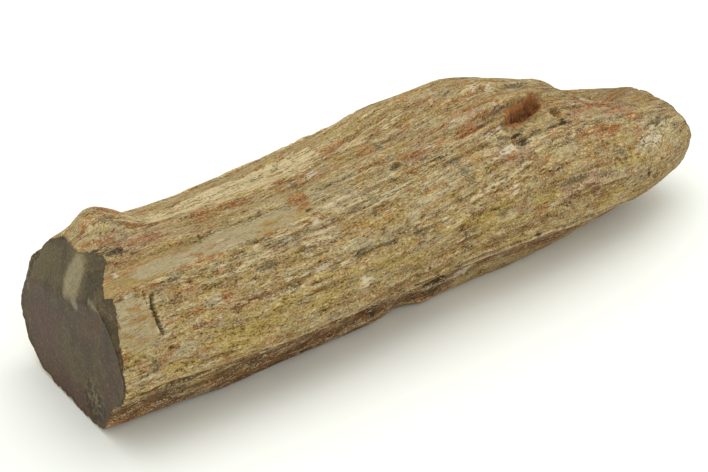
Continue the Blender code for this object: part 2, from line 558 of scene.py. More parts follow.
@dataclass(frozen=True)
class Mottle:
    """One tone of the skin: its flecks' size, how rare they are away from its patches, and its patches."""

    tone: Tone
    length: float
    width: float
    rarity: float
    strength: float
    patches: tuple[Union[Patch, Furrow], ...]

    PATCH_PUSH = 1.0
    CALM_PUSH = 2.0
    EDGE = 1.4
    LOOSE = 0.6
    LAYERS = 4
    FAINTER = 0.65

    def cover(self, skin: Skin, border: Array, calm: Array, noise: Noise) -> Array:
        """How much each place takes the tone.

        Args:
            skin: places on the skin.
            border: how the borders of the patches wander.
            calm: where the stone is smooth and keeps to its patches.
            noise: what scatters the flecks.

        Returns:
            A share from 0 to 1 for each place.
        """
        place = np.max([patch.cover(skin, border) for patch in self.patches], axis=0)
        flecks = even(noise.layered(skin.scaled(self.length, self.width), self.LAYERS, self.FAINTER))
        common = place * (self.rarity + self.PATCH_PUSH) - self.rarity
        common -= self.CALM_PUSH * calm * (1 - place)
        return smoothstep((common + flecks) / self.EDGE + 0.5) * (self.LOOSE + (1 - self.LOOSE) * place)


LEDGES = tuple(Ledge(*row) for row in (
    (-168, -30, 44, 1.0, 20), (-140, -10, 68, 0.9), (-118, 96, 12, 0.9), (-96, 40, 24, 0.8),
    (-10, 166, 2, 0.8), (14, 92, 64, 1.6), (-60, 60, 52, 0.8), (40, 150, 48, 0.9), (78, 168, 27, 1.1),
    (60, 140, 14, 0.8), (-130, 20, 96, 0.8), (20, 150, 88, 0.9), (-150, 120, 150, 1.4),
    (-165, 60, 202, 1.2), (0, 150, 184, 1.2),
))

HOLLOW = Furrow(52, 81, 53, 60, 4.8, 4.6, steepness=2.6)
HOLLOW_SIDES = Furrow(37, 81, 46, 59, 7.0, -2.0)
HOLLOW_WALLS = Furrow(39, 87, 48, 62, 11.0, 0.0, end_fade=9)
HOLLOW_STAIN = Furrow(43, 85, 49.5, 63, 8.0, 0.0, end_fade=12, steepness=3.0)
CREVICES = tuple(Furrow(*row) for row in (
    (40, 60, 48.5, 54, 2.4, 2.2), (2, 44, 46, 45, 1.3, 0.6), (14, 46, 57, 58, 1.4, 1.0),
    (46, 92, 36, 38, 1.3, 0.9), (-68, -30, 45, 46, 1.0, 0.6), (-60, -6, 21, 18, 1.0, 0.5),
    (40, 80, 62.5, 62.5, 1.2, 1.2), (-100, -60, 20, 21, 0.9, 0.5), (90, 130, 33, 31, 1.1, 0.5),
    (-20, 60, 140, 140, 1.6, 1.4), (-120, -30, 178, 176, 1.6, 1.4), (10, 110, 214, 212, 1.8, 1.4),
    (-171, -112, -8.5, -11, 1.3, 1.7), (-118, -40, -10.5, -13, 1.4, 2.0), (-44, 44, -12.5, -17, 1.2, 1.5),
    (36, 122, -17, -16, 1.1, 1.3),
))
PITS = patches(
    (48, 37, 3.5, 3.5, 2.0), (81, 46, 2.6, 3.0, 2.4), (62, 52, 3.0, 3.0, 1.6), (72, 60, 4.0, 3.0, 2.2),
    (-18, 61, 2.2, 1.2, 0.8), (21, 92, 2.4, 2.0, 0.9), (-86, 19, 2.2, 1.2, 0.8),
    (-44, -36, 4.0, 6.0, 2.6), (-5, -35, 7.0, 5.0, 2.2), (124, 0, 0.9, 3.0, 1.4),
)
PALE_RIDGE = Patch(-166.0, 37.5, 0.6, 7.5, 0.45)
FACE_WRAP = {
    -14: 0.0, -5: 1.4, 9: 1.6, 16: 2.2, 25: 3.3, 35: 5.5, 42: 7.6, 46: 7.0, 48: 3.5, 57: 4.0, 66: 6.5,
    76: 10.0, 84: 10.0, 92: 5.0, 100: 0.0,
}
LUMPS = patches(
    (-141, 118, 11, 12, 1.7), (-155, 112, 6, 16, 1.2), (12, 120, 44, 14, 1.1), (150, 105, 12, 14, 0.8),
)
CALM = patches(
    (-159, 30, 8, 13), (-166, 60, 8, 16), (-147, 53, 15, 5), (-120, 58, 30, 7), (-88, 58, 26, 6),
)
MOTTLES = (
    Mottle(Tone.ASH, 24, 7, 1.5, 0.9, patches(
        (-144, 100, 8, 7, 0.9), (-136, 55, 16.4, 6.2, 1), (-106, 58, 18.5, 6.6, 1),
        (-92, 65, 19.4, 7.4, 0.9), (-78, 62, 8.3, 6.9, 0.9), (-158, 33, 6.7, 11.2, 1),
        (-142, 7, 5.4, 3.5, 0.8), (-162, 3, 4, 3.3, 0.7), (-124, 26, 5.2, 4, 0.5),
        (-48, 67, 16.7, 7.3, 0.8), (-58, 55, 5.7, 2.2, 0.9), (-78, 66, 6.5, 7.6, 0.9),
        (-22, 57, 12.7, 1.9, 0.9), (0, 65, 10.9, 4.4, 0.9), (22, 67, 5.3, 2.3, 0.9),
        (-68, 23, 7.5, 1.5, 0.8), (-62, 27, 5.7, 1.3, 0.6), (-8, 32, 8.1, 2.2, 0.6), (76, 26, 14.5, 4, 0.9),
        (156, 25, 17.1, 4.7, 0.6), (152, 1, 7.6, 10.6, 0.6), (30, 68, 14.1, 1.9, 0.9),
        (114, 33, 9.5, 3.1, 0.6), (-112, 85, 9.2, 6, 0.5), (-82, 29, 7.4, 1.6, 0.5),
        (36, 19, 11.5, 1.4, 0.4), (74, 15, 13.1, 1.3, 0.5), (-30, 30, 60, 12, 0.3), (110, 20, 50, 16, 0.35),
        (-60, 46, 80, 12, 0.5), (10, 40, 60, 10, 0.4), (-60, 210, 40, 10, 0.8), (60, 225, 40, 10, 0.8),
        (0, 265, 150, 30, 0.4),
    )),
    Mottle(Tone.HONEY, 24, 7, 1.5, 0.85, patches(
        (-118, 6, 18.6, 4.6, 1), (-140, 0, 11.4, 3, 0.8), (-96, 13, 8.1, 3.6, 1),
        (-106, 116, 11.9, 7.4, 0.6), (-116, 115, 10, 6.6, 0.5), (-76, 16, 8.4, 3, 0.9),
        (-54, 14, 6.7, 2.2, 0.9), (-38, 10, 5.9, 1.8, 0.8), (-68, 7, 11.4, 2.2, 0.8),
        (-46, 36, 6.7, 2.3, 0.6), (-30, 39, 8, 1.8, 0.5), (-18, 2, 11.3, 3.8, 0.6), (2, 12, 3.6, 2.9, 0.9),
        (24, 12, 9.6, 3.3, 1), (8, 10, 7.8, 2.4, 0.9), (108, 9, 11.4, 1.9, 0.8), (72, -13, 11.8, 2.3, 0.8),
        (122, 4, 8.4, 2.3, 0.5), (-116, -1, 13.3, 3.3, 0.7), (-90, 4, 70, 14, 0.45), (40, 0, 80, 14, 0.4),
        (-90, 112, 50, 14, 0.4), (-40, 190, 50, 10, 0.8), (90, 205, 30, 8, 0.8), (-100, 250, 60, 20, 0.4),
    )),
    Mottle(Tone.ROSE, 20, 6, 1.6, 0.8, patches(
        (-138, 86, 12, 9, 0.9), (114, 46, 26, 12, 0.8), (74, 4, 18, 6, 0.9), (140, 70, 22, 14, 0.8),
        (44, 36, 18, 7, 0.8), (-150, 66, 8, 8, 0.6), (20, 62, 30, 8, 0.6), (-90, 44, 30, 4, 0.5),
        (60, 230, 60, 16, 0.5),
    )),
    Mottle(Tone.OCHRE, 16, 5, 1.6, 0.85, patches(
        (22, -5, 11.5, 4.2, 1), (40, -6, 14, 4, 1), (92, -1, 10, 4, 0.8), (14, -10, 9, 4, 0.9),
        (-36, -7, 14, 3, 0.9), (-12, -8, 9, 3, 0.8), (-158, -5, 8, 3, 0.8), (-134, -4, 14, 3, 0.6),
        (-88, 33, 10, 4, 0.5), (96, 48, 14, 8, 0.5), (60, 10, 20, 3, 0.5), (-20, 84, 30, 8, 0.4),
        (-40, 260, 60, 20, 0.6), (90, 150, 40, 10, 0.6),
    )),
    Mottle(Tone.BRICK, 14, 4.5, 1.7, 0.9, patches(
        (-146, 110, 3.5, 2.9, 0.6), (-160, 44, 3.2, 1.4, 0.7), (-134, 16, 4.7, 1.4, 0.8),
        (-148, 19, 3.8, 1, 0.8), (-104, 20, 5.7, 1.3, 0.9), (-114, 19, 3.9, 1.2, 0.8),
        (-106, 46, 3.5, 1.4, 0.8), (-90, 105, 4.2, 2.5, 0.6), (8, 53, 3.7, 1.3, 0.7),
        (74, 2, 11.7, 3.3, 0.9), (10, 14, 6.3, 1.2, 0.7), (104, 6, 3.5, 1.1, 0.7), (134, -5, 7.4, 2.5, 0.7),
        (58, -33, 6.1, 4.9, 0.6), (96, 46, 6.6, 2.4, 0.6), (-52, 18, 6.2, 1.1, 0.5), (4, 0, 7.2, 2.3, 0.4),
        (-152, 85, 4.3, 4.1, 0.5), (100, -28, 50, 8, 0.7), (110, 62, 30, 12, 0.3), (60, 30, 30, 12, 0.3),
        (-140, 104, 20, 14, 0.35), (0, 215, 50, 6, 0.8), (-130, 215, 25, 7, 0.8), (20, 156, 40, 3, 0.6),
    ) + (
        Furrow(-176, 14, -37, -38, 27, 1), Furrow(0, 120, -32, -32, 12, 1),
    )),
    Mottle(Tone.RUST, 14, 4, 1.5, 0.85, patches(
        (-100, 95, 2.3, 4.7, 0.8), (-132, 111, 2.6, 7.4, 0.8), (-130, 87, 4.8, 2.7, 0.7),
        (-148, 67, 3.8, 6, 0.9), (-126, 48, 5.6, 1.4, 0.9), (-116, 49, 5.2, 1.4, 0.9),
        (-118, 26, 1.8, 3, 0.8), (-122, 20, 1.8, 1.9, 0.9), (-132, 35, 3.9, 1.7, 0.6),
        (-142, 31, 3, 2.1, 0.4), (-168, 16, 2, 2.5, 0.7), (-124, -4, 1.8, 2.9, 0.6),
        (-166, 57, 2, 2.3, 0.8), (-88, 94, 2.8, 2.2, 0.7), (-90, 50, 5, 1.7, 0.7), (-66, 68, 4.2, 6.8, 0.8),
        (-32, 103, 6.6, 2.1, 0.8), (-8, 90, 1.6, 1.8, 0.8), (-22, 67, 2, 3.1, 0.7), (-40, 55, 7.2, 1, 0.6),
        (-62, 41, 1.9, 1.8, 0.6), (-70, 34, 3.8, 1.7, 0.7), (-76, 41, 3.9, 1.2, 0.5),
        (16, 71, 5.4, 2.4, 0.7), (24, 58, 7.4, 4.2, 1), (-4, 60, 6.9, 1.6, 0.9), (-4, 74, 3.7, 2.3, 0.5),
        (-60, 17, 6.7, 1.5, 0.6), (-36, 13, 3.5, 1.1, 0.5), (-4, 15, 2.1, 0.8, 0.8),
        (-4, 36, 4.6, 1.4, 0.5), (-6, -50, 4.8, 3.4, 0.7), (-162, -40, 12, 9, 0.9), (64, 59, 11.9, 4.5, 1),
        (76, 64, 4.2, 2, 0.9), (34, 44, 7.8, 1.9, 0.8), (46, 72, 6, 3.1, 0.6), (74, 35, 7.3, 1.9, 0.8),
        (78, 47, 7.2, 1.7, 0.5), (116, 52, 15, 7.3, 1), (90, 43, 4, 3.6, 0.6), (146, 93, 6.5, 5.2, 0.8),
        (128, 37, 4.5, 10.2, 1), (100, 26, 13, 3.6, 1), (160, 102, 3.3, 12, 0.8), (36, 31, 5.3, 2.1, 0.7),
        (28, 30, 6.2, 1.6, 0.6), (44, 38, 2.9, 1.8, 0.7), (54, 23, 3, 2.4, 0.5), (54, 2, 4.3, 1.6, 0.6),
        (46, -1, 4.1, 3.3, 0.6), (90, 11, 6.2, 1, 0.8), (122, -10, 5.7, 1.8, 0.8), (24, 98, 5.6, 2.2, 0.5),
        (10, 104, 6.5, 2.2, 0.4), (94, 59, 8, 2.1, 0.4), (154, 46, 6.4, 3, 0.4), (-30, 96, 110, 16, 0.32),
        (60, 62, 60, 16, 0.34), (-150, 112, 20, 14, 0.5), (120, 50, 40, 14, 0.34), (-120, 90, 30, 8, 0.4),
        (-90, 165, 30, 6, 0.8), (60, 178, 24, 5, 0.8), (-20, 140, 20, 5, 0.7), (110, 125, 22, 5, 0.7),
        (-60, 235, 60, 8, 0.5),
    )),
    Mottle(Tone.SLATE, 12, 3.5, 1.9, 0.75, patches(
        (-142, 110, 3.1, 2.5, 0.9), (-138, 107, 3.6, 1.5, 0.7), (-166, 37, 1.6, 12.8, 0.9),
        (-156, 17, 1.4, 1.7, 0.7), (-156, 6, 1.6, 3.6, 0.8), (-152, 17, 2.1, 1.9, 0.9),
        (-98, 34, 6.3, 2.8, 0.8), (-134, 42, 3, 1.5, 0.7), (-98, 17, 4, 1.2, 0.8),
        (-124, 10, 1.8, 1.2, 0.6), (-112, 10, 2.2, 1.2, 0.6), (-14, 84, 2.6, 4.1, 0.9),
        (-60, 84, 1.4, 10.9, 0.8), (-36, 45, 23, 1.4, 0.9), (-4, 54, 10, 1.3, 0.8), (10, 44, 2.6, 3.1, 0.9),
        (-50, 21, 6.7, 1.6, 1), (-38, 20, 3.9, 1, 0.7), (-22, 18, 4.1, 1.5, 0.9), (-30, 22, 3.5, 1.3, 0.7),
        (-10, 18, 5.7, 0.9, 0.8), (-90, 18, 3.7, 1.9, 0.8), (-70, 19, 2.8, 1.3, 0.6),
        (12, 33, 2.6, 5.4, 0.9), (4, -7, 4.2, 3.3, 0.6), (-56, 33, 6.6, 1, 0.6), (-68, 30, 3.7, 1, 0.5),
        (146, 20, 16, 2.6, 1), (70, 9, 15, 1.4, 0.8), (42, 9, 6.5, 2.1, 0.6), (24, 7, 4.8, 2.7, 0.7),
        (6, 5, 4.6, 2.5, 0.7), (104, 14, 8.6, 1.1, 0.6), (74, 85, 10.5, 2.5, 0.7), (58, 3, 3.7, 1.5, 0.4),
        (86, 7, 5.9, 1.2, 0.6), (50, 15, 7.1, 1, 0.6), (-114, 73, 7.1, 3, 0.4), (20, 158, 30, 4, 0.8),
        (-120, 185, 20, 5, 0.8), (120, 150, 18, 4, 0.8), (40, 240, 60, 5, 0.6),
    )),
    Mottle(Tone.CHALK, 8, 2.2, 2.3, 0.8, patches(
        (-118, -24, 5, 3, 0.65), (-96, -28, 5, 3, 0.65), (-156, 44, 3.7, 0.9, 0.8),
        (-82, 45, 2.4, 2.3, 0.8), (-90, 23, 3.2, 1, 0.7), (-92, 111, 2.8, 3.7, 0.9),
        (-54, 109, 2.9, 4.3, 0.8), (-50, 88, 3.4, 3.2, 1), (-58, 119, 2, 5.5, 0.6),
        (-74, 22, 11.1, 0.8, 0.9), (-54, 6, 4.4, 4, 0.6), (-66, 47, 2.3, 1.5, 0.8), (-82, 41, 2.4, 2, 0.7),
        (-68, 37, 1.4, 1.1, 0.7), (-80, 47, 6.6, 0.7, 0.9), (-26, 46, 8.9, 0.8, 0.7),
        (12, -38, 5.9, 6.7, 0.9), (-8, 19, 2.1, 0.9, 0.8), (38, 36, 6, 1.9, 1), (130, 14, 13, 2.4, 0.85),
        (48, 91, 4, 3.5, 0.8), (58, 87, 3.6, 2.8, 0.7), (32, 16, 2.8, 2.4, 0.6), (116, 59, 7.4, 6.1, 0.8),
        (76, 21, 15.6, 0.6, 0.6), (22, 23, 8.1, 0.7, 0.8), (54, -1, 2.5, 1.9, 0.7),
        (40, 50, 11.2, 1.6, 0.6), (-166, 39, 1, 6.6, 0.9), (-108, -20, 6, 2, 0.6), (-62, 20, 2.4, 1, 0.6),
        (54, 28, 6.2, 0.6, 0.5), (22, 67, 4.8, 1.6, 0.6), (52, 18, 4.6, 0.7, 0.5), (-100, 66, 8.1, 1, 0.4),
        (-160, 60, 5, 8, 0.4), (-158, -26, 9, 12, 0.4), (40, -22, 30, 4, 0.5), (-10, 176, 12, 4, 0.35),
        (95, 165, 10, 4, 0.35), (-130, 150, 10, 4, 0.35),
    )),
    Mottle(Tone.CREAM, 15, 2.0, 1.9, 0.85, patches(
        (-72, 112, 36, 12, 1), (-60, 48, 90, 14, 0.42), (10, 44, 50, 10, 0.35), (-60, 98, 20, 4, 0.6),
        (-112, 112, 22, 9, 0.9), (-10, 100, 24, 5, 0.5), (-30, 46, 14, 1.6, 0.7), (20, 24, 30, 3, 0.45),
        (140, 16, 20, 5, 0.6), (50, 88, 14, 6, 0.5), (-60, -14.5, 26, 1.4, 0.5), (40, -19, 50, 1.6, 0.6),
        (-80, 170, 60, 8, 0.5), (70, 195, 50, 8, 0.5),
    )),
    # The dark brown crust low on the front; its patches there also paint shade on the flank that faces down
    # under the lip.
    Mottle(Tone.UMBER, 9, 3.0, 2.1, 0.85, patches(
        (-150, -19, 26, 8, 1), (-158, -34, 14, 14, 0.8), (-100, -38, 60, 14, 0.5), (-90, -15, 50, 4, 0.8),
        (-20, -22, 50, 5, 0.6), (-168, 66, 3, 20, 0.5), (-156, 78, 7, 7, 0.6), (40, 46, 18, 8, 0.5),
        (-98, 33, 8, 3, 0.6), (60, 240, 90, 20, 0.5),
    )),
    # Dark marks of the stone, and painted shade in pits, notches and grooves: the notch low on the front, the
    # pits by the hollow.
    Mottle(Tone.DARK_STONE_AND_SHADE, 5, 1.6, 2.4, 0.9, patches(
        (-152, 90, 4.7, 3.9, 0.9), (-148, 83, 3.9, 5.4, 0.9), (-142, 78, 3.4, 3.7, 0.8),
        (-116, 64, 1, 1.6, 1), (-106, 13, 1.3, 1.5, 0.7), (-86, 69, 1, 2.4, 0.8), (-86, 19, 3.7, 1, 0.8),
        (-18, 59, 3.4, 1.6, 0.9), (-14, 57, 2, 1.4, 0.7), (-38, -40, 2.2, 6.8, 1), (-4, -40, 5.9, 9.7, 1),
        (-34, -10, 2.5, 1.8, 0.8), (-14, -47, 3.6, 4.2, 0.7), (-8, 24, 1.1, 1, 0.8),
        (-66, 56, 2.4, 1.4, 0.8), (2, -17, 1.5, 3.4, 1), (52, 36, 4.3, 2.4, 1), (50, 42, 4.5, 1.2, 0.9),
        (82, 39, 2.3, 2.7, 1), (44, 60, 9.7, 1.6, 0.8), (94, 21, 2.2, 0.9, 0.8), (78, -8, 2.3, 1, 1),
        (48, -17, 1.4, 1.7, 1), (66, -19, 1.3, 4.7, 0.9), (70, -11, 1.3, 0.9, 0.9), (124, -1, 1, 3.4, 1),
        (28, 51, 1.2, 0.9, 0.8), (34, 96, 2.9, 1.8, 0.6), (88, -18, 4.2, 2.7, 0.6),
        (120, 32, 2.5, 2.2, 0.7), (-42, 90, 1, 1.4, 0.8), (72, 62, 3.5, 1.6, 0.9), (62, 54, 6.1, 1.6, 0.9),
        (-144, 100, 1, 0.8, 0.6), (-150, 33, 1, 8.5, 0.8), (48, 64, 3.4, 1.3, 0.6),
        (30, -16, 1.6, 1.2, 0.6), (-163, 58, 5, 8, 0.45), (-160, -28, 8, 14, 0.4),
    )),
)
FACE_MARKS = {
    Tone.FACE_MAROON: (
        Blot(22, 26, 11, 16, 20, 0.8),
        Blot(6, 6, 18, 9, 0, 0.7),
    ),
    Tone.FACE_OLIVE: (
        Blot(-4, 22, 12, 10, 0, 0.4),
        Blot(26, 52, 8, 8, 0, 0.5),
        Blot(-36, 60, 4, 10, 0, 0.5),
    ),
    Tone.FACE_DARK: (
        Blot(-19, 66, 5, 12, -36, 0.85),
        Blot(9.5, 61.5, 1.8, 6, -38, 0.5),
        Blot(13.5, 48, 3, 6, -50, 0.4),
        Blot(-6, 33, 1.8, 5, 30, 0.8),
        Blot(-38, 56, 3.6, 14, 4, 0.9),
        Blot(-32, 12, 5, 7, 0, 0.5),
        Blot(20, 66, 12, 3, -20, 0.6),
    ),
    Tone.FACE_TAN: (
        Blot(-4.0, 61.0, 7.0, 8.6, -36, 1.0),
        Blot(-10, 54.5, 2.6, 4, -50, 0.8),
        Blot(-26.8, 60.8, 5.0, 0.8, 0, 0.6),
    ),
}
CRUSTS = (
    Blot(-21, 12, 9, 9, 0, 1.0),
    Blot(14, 72, 12, 4, -20, 0.8),
    Blot(34, 50, 3, 12, 0, 0.7),
)


@dataclass(frozen=True)
class CrossCrack:
    """A crack across the grain by the flat end: its places along at its low and high ends, and its size."""

    low_grain: float = 16
    high_grain: float = 42
    low_along: float = -148.6
    high_along: float = -146.4
    bow: float = -1.6
    half_width: float = 0.7
    depth: float = 2.4
    step: float = 0.5
    step_length: float = 10
    step_edge: float = 0.8
    end_fade: float = 0.2

    def share(self, skin: Skin) -> Array:
        """How far up the crack each place lies, from 0 to 1."""
        return (skin.grain - self.low_grain) / (self.high_grain - self.low_grain)

    def aside(self, skin: Skin) -> Array:
        """How far past the crack each place lies, along the grain.

        Args:
            skin: places on the skin.

        Returns:
            A distance for each place, below 0 before the crack.
        """
        share = np.clip(self.share(skin), 0, 1)
        line = self.low_along + share * (self.high_along - self.low_along)
        return skin.along - line - self.bow * share * (1 - share) * 4

    def ends(self, skin: Skin) -> Array:
        """1 along the crack, easing to 0 at its low and high ends and past them."""
        share = self.share(skin)
        return smoothstep(np.minimum(share, 1 - share) / self.end_fade)

    def gap(self, skin: Skin) -> Array:
        """How open the crack is at each place, from 0 to 1."""
        return self.ends(skin) * np.exp(-np.abs(self.aside(skin) / self.half_width) ** 3)

    def relief(self, skin: Skin) -> Array:
        """What the crack and the step beside it add to the skin.

        Args:
            skin: places on the skin.

        Returns:
            A height for each place.
        """
        aside = self.aside(skin)
        proud = smoothstep(-aside / self.step_edge) * smoothstep(1 + aside / self.step_length)
        return self.step * proud * self.ends(skin) - self.depth * self.gap(skin)


@dataclass(frozen=True)
class Weathering:
    """What splitting and weather have raised on the skin of the log and cut from it."""

    sunk: float = 0.15
    lump: Texture = Texture(0.5, 30, 8, 2)
    bundle: Texture = Texture(0.8, 44, 5.2, 3)
    bundle_steps: float = 7
    bundle_edge: float = 0.35
    fibre: Texture = Texture(0.24, 18, 1.7)
    thread: Texture = Texture(0.14, 8, 0.8)
    grit: Texture = Texture(0.07, 1.6, 0.9)
    wall: Texture = Texture(0.7, 9, 4)
    rib: Texture = Texture(0.9, 60, 2.8, 2)
    crack: Texture = Texture(0.75, 40, 6.5, 2)
    crack_width: float = 0.035
    crack_break: Texture = Texture(2.0, 14, 9)
    crack_share: float = 0.2
    pit: Texture = Texture(0.8, 4.2, 2.0)
    pit_starts: float = 0.5
    pit_edge: float = 0.22
    gap_depth: float = 2.0
    gap_break: Texture = Texture(2.5, 7, 3, 2)
    gap_share: float = 0.7
    stray: Texture = Texture(1.6, 19, 60)
    finer_stray: Texture = Texture(0.7, 6, 30)
    calm_border: Texture = Texture(1.0, 9, 4, 2)
    calm_plain: float = 0.8
    tip_plain: float = 0.75
    tip_reach: float = 9.0
    rim_round: float = 0.3
    rim_round_reach: float = 0.7
    chip: Texture = Texture(1.6, 9, 4.5, 2)
    chip_proud: float = 0.25
    chip_reach: float = 2.2
    front_chips: float = 0.3
    tip_chips: float = 0.45
    foot_middle: float = 245
    foot_half: float = 70
    foot_fade: float = 20
    noise: Noise = field(default_factory=lambda: Noise(11))
    finer: Noise = field(default_factory=lambda: Noise(29))

    def wander(self, skin: Skin) -> Array:
        """How far, in degrees, lines along the grain stray."""
        return self.stray.relief(skin, self.noise) + self.finer_stray.relief(skin, self.finer)

    def calm(self, skin: Skin) -> Array:
        """Where the skin is smooth stone with hardly any fibre showing."""
        border = self.calm_border.relief(skin, self.finer)
        return np.max([patch.cover(skin, border) for patch in CALM], axis=0)

    def bundles(self, skin: Skin) -> Array:
        """Bundles of fibre, split off in steps.

        Args:
            skin: places on the skin.

        Returns:
            A height for each place.
        """
        slope = self.bundle.at(skin, self.noise) * self.bundle_steps
        whole = np.floor(slope)
        return (whole + smoothstep((slope - whole) / self.bundle_edge)) / self.bundle_steps

    def cracks(self, skin: Skin) -> Array:
        """Hairline cracks along the grain, from 0 to 1.

        Args:
            skin: places on the skin.

        Returns:
            A share from 0 to 1 for each place.
        """
        line = self.crack.at(skin, self.finer)
        broken = smoothstep(self.crack_break.relief(skin, self.noise) + self.crack_share)
        return np.exp(-((line / self.crack_width) ** 2)) * broken

    def pits(self, skin: Skin) -> Array:
        """Small pits where weather has picked the stone out, from 0 to 1."""
        return smoothstep((self.pit.at(skin, self.finer) - self.pit_starts) / self.pit_edge)

    def painted_gap_shade(self, skin: Skin) -> Array:
        """Where the skin is split open, for the painted shade in the splits, from 0 to 1.

        Args:
            skin: places on the skin.

        Returns:
            A share from 0 to 1 for each place.
        """
        wander = self.wander(skin)
        open_by = [min(furrow.depth / self.gap_depth, 1) * furrow.cover(skin, wander) for furrow in CREVICES]
        broken = smoothstep(self.gap_break.relief(skin, self.finer) + self.gap_share)
        return np.maximum(np.max(open_by, axis=0) * broken, CrossCrack().gap(skin))

    def relief(self, skin: Skin, from_end: Array) -> Array:
        """How far the skin stands out from the smooth form.

        Args:
            skin: places on the skin.
            from_end: how far each place is from the broken end nearest to it.

        Returns:
            A height for each place.
        """
        wander = self.wander(skin)
        walls = HOLLOW_SIDES.cover(skin, wander)
        plain = np.where(skin.along > 0, self.tip_plain * np.exp(-((from_end / self.tip_reach) ** 2)), 0)
        rough = (1 - self.calm_plain * np.maximum(self.calm(skin), walls)) * (1 - plain)
        raised = self.lump.relief(skin, self.noise) + self.bundle.height * self.bundles(skin)
        raised += self.fibre.relief(skin, self.finer) + self.thread.relief(skin, self.noise)
        raised -= self.crack.height * self.cracks(skin) + self.pit.height * self.pits(skin)
        raised = raised * rough + self.grit.relief(skin, self.noise)
        raised += sum(ledge.relief(skin, wander) for ledge in LEDGES)
        for furrow in (HOLLOW, HOLLOW_SIDES, *CREVICES):
            raised -= furrow.depth * furrow.cover(skin, wander)
        raised -= sum(patch.cover(skin, wander) for patch in PITS)
        raised += sum(patch.cover(skin, 0 * wander) for patch in LUMPS)
        raised += walls * self.wall.relief(skin, self.finer)
        raised += CrossCrack().relief(skin)
        raised += self.foot(skin) * self.rib.relief(skin, self.noise) * (1 - plain)
        return raised - self.rim(skin, from_end) - self.sunk

    def rim(self, skin: Skin, from_end: Array) -> Array:
        """What is rounded and chipped off the rims of the broken ends.

        Args:
            skin: places on the skin.
            from_end: how far each place is from the broken end nearest to it.

        Returns:
            A depth for each place.
        """
        chips = np.maximum(-self.chip_proud, self.chip.at(skin, self.finer)) * self.chip.height
        chips *= np.exp(-((from_end / self.chip_reach) ** 2))
        at_flat_end = self.front_chips + (1 - self.front_chips) * self.foot(skin)
        chips *= np.where(skin.along < 0, at_flat_end, self.tip_chips)
        return chips + self.rim_round * np.exp(-from_end / self.rim_round_reach)

    def foot(self, skin: Skin) -> Array:
        """How much each place lies on the back and the foot of the log, from 0 to 1."""
        return smoothstep((self.foot_half - np.abs(apart(skin.grain, self.foot_middle))) / self.foot_fade)


@dataclass
class Sheet:
    """Part of the log's surface: its points, their places in the grain, and what the finish needs of them.

    The level is how far a point stands above the skin near it, by which the finish paints highlight on raised
    points and shade on sunk ones; the face is how much it shows the stone of the flat end, and past is how
    far it lies past the rim, away from the flat end.
    """

    points: Array
    skin: Skin
    level: Array
    face: Array
    past: Array

    @classmethod
    def joined(cls, sheets: Sequence["Sheet"]) -> "Sheet":
        """Several sheets as one.

        Args:
            sheets: the sheets, in the order that their points take.

        Returns:
            The one sheet.
        """
        skins = [[sheet.skin.along, sheet.skin.grain, sheet.skin.share] for sheet in sheets]
        skin = Skin(*(np.concatenate(values) for values in zip(*skins)))
        rest = zip(*([sheet.level, sheet.face, sheet.past] for sheet in sheets))
        return cls(np.concatenate([sheet.points for sheet in sheets]), skin, *map(np.concatenate, rest))


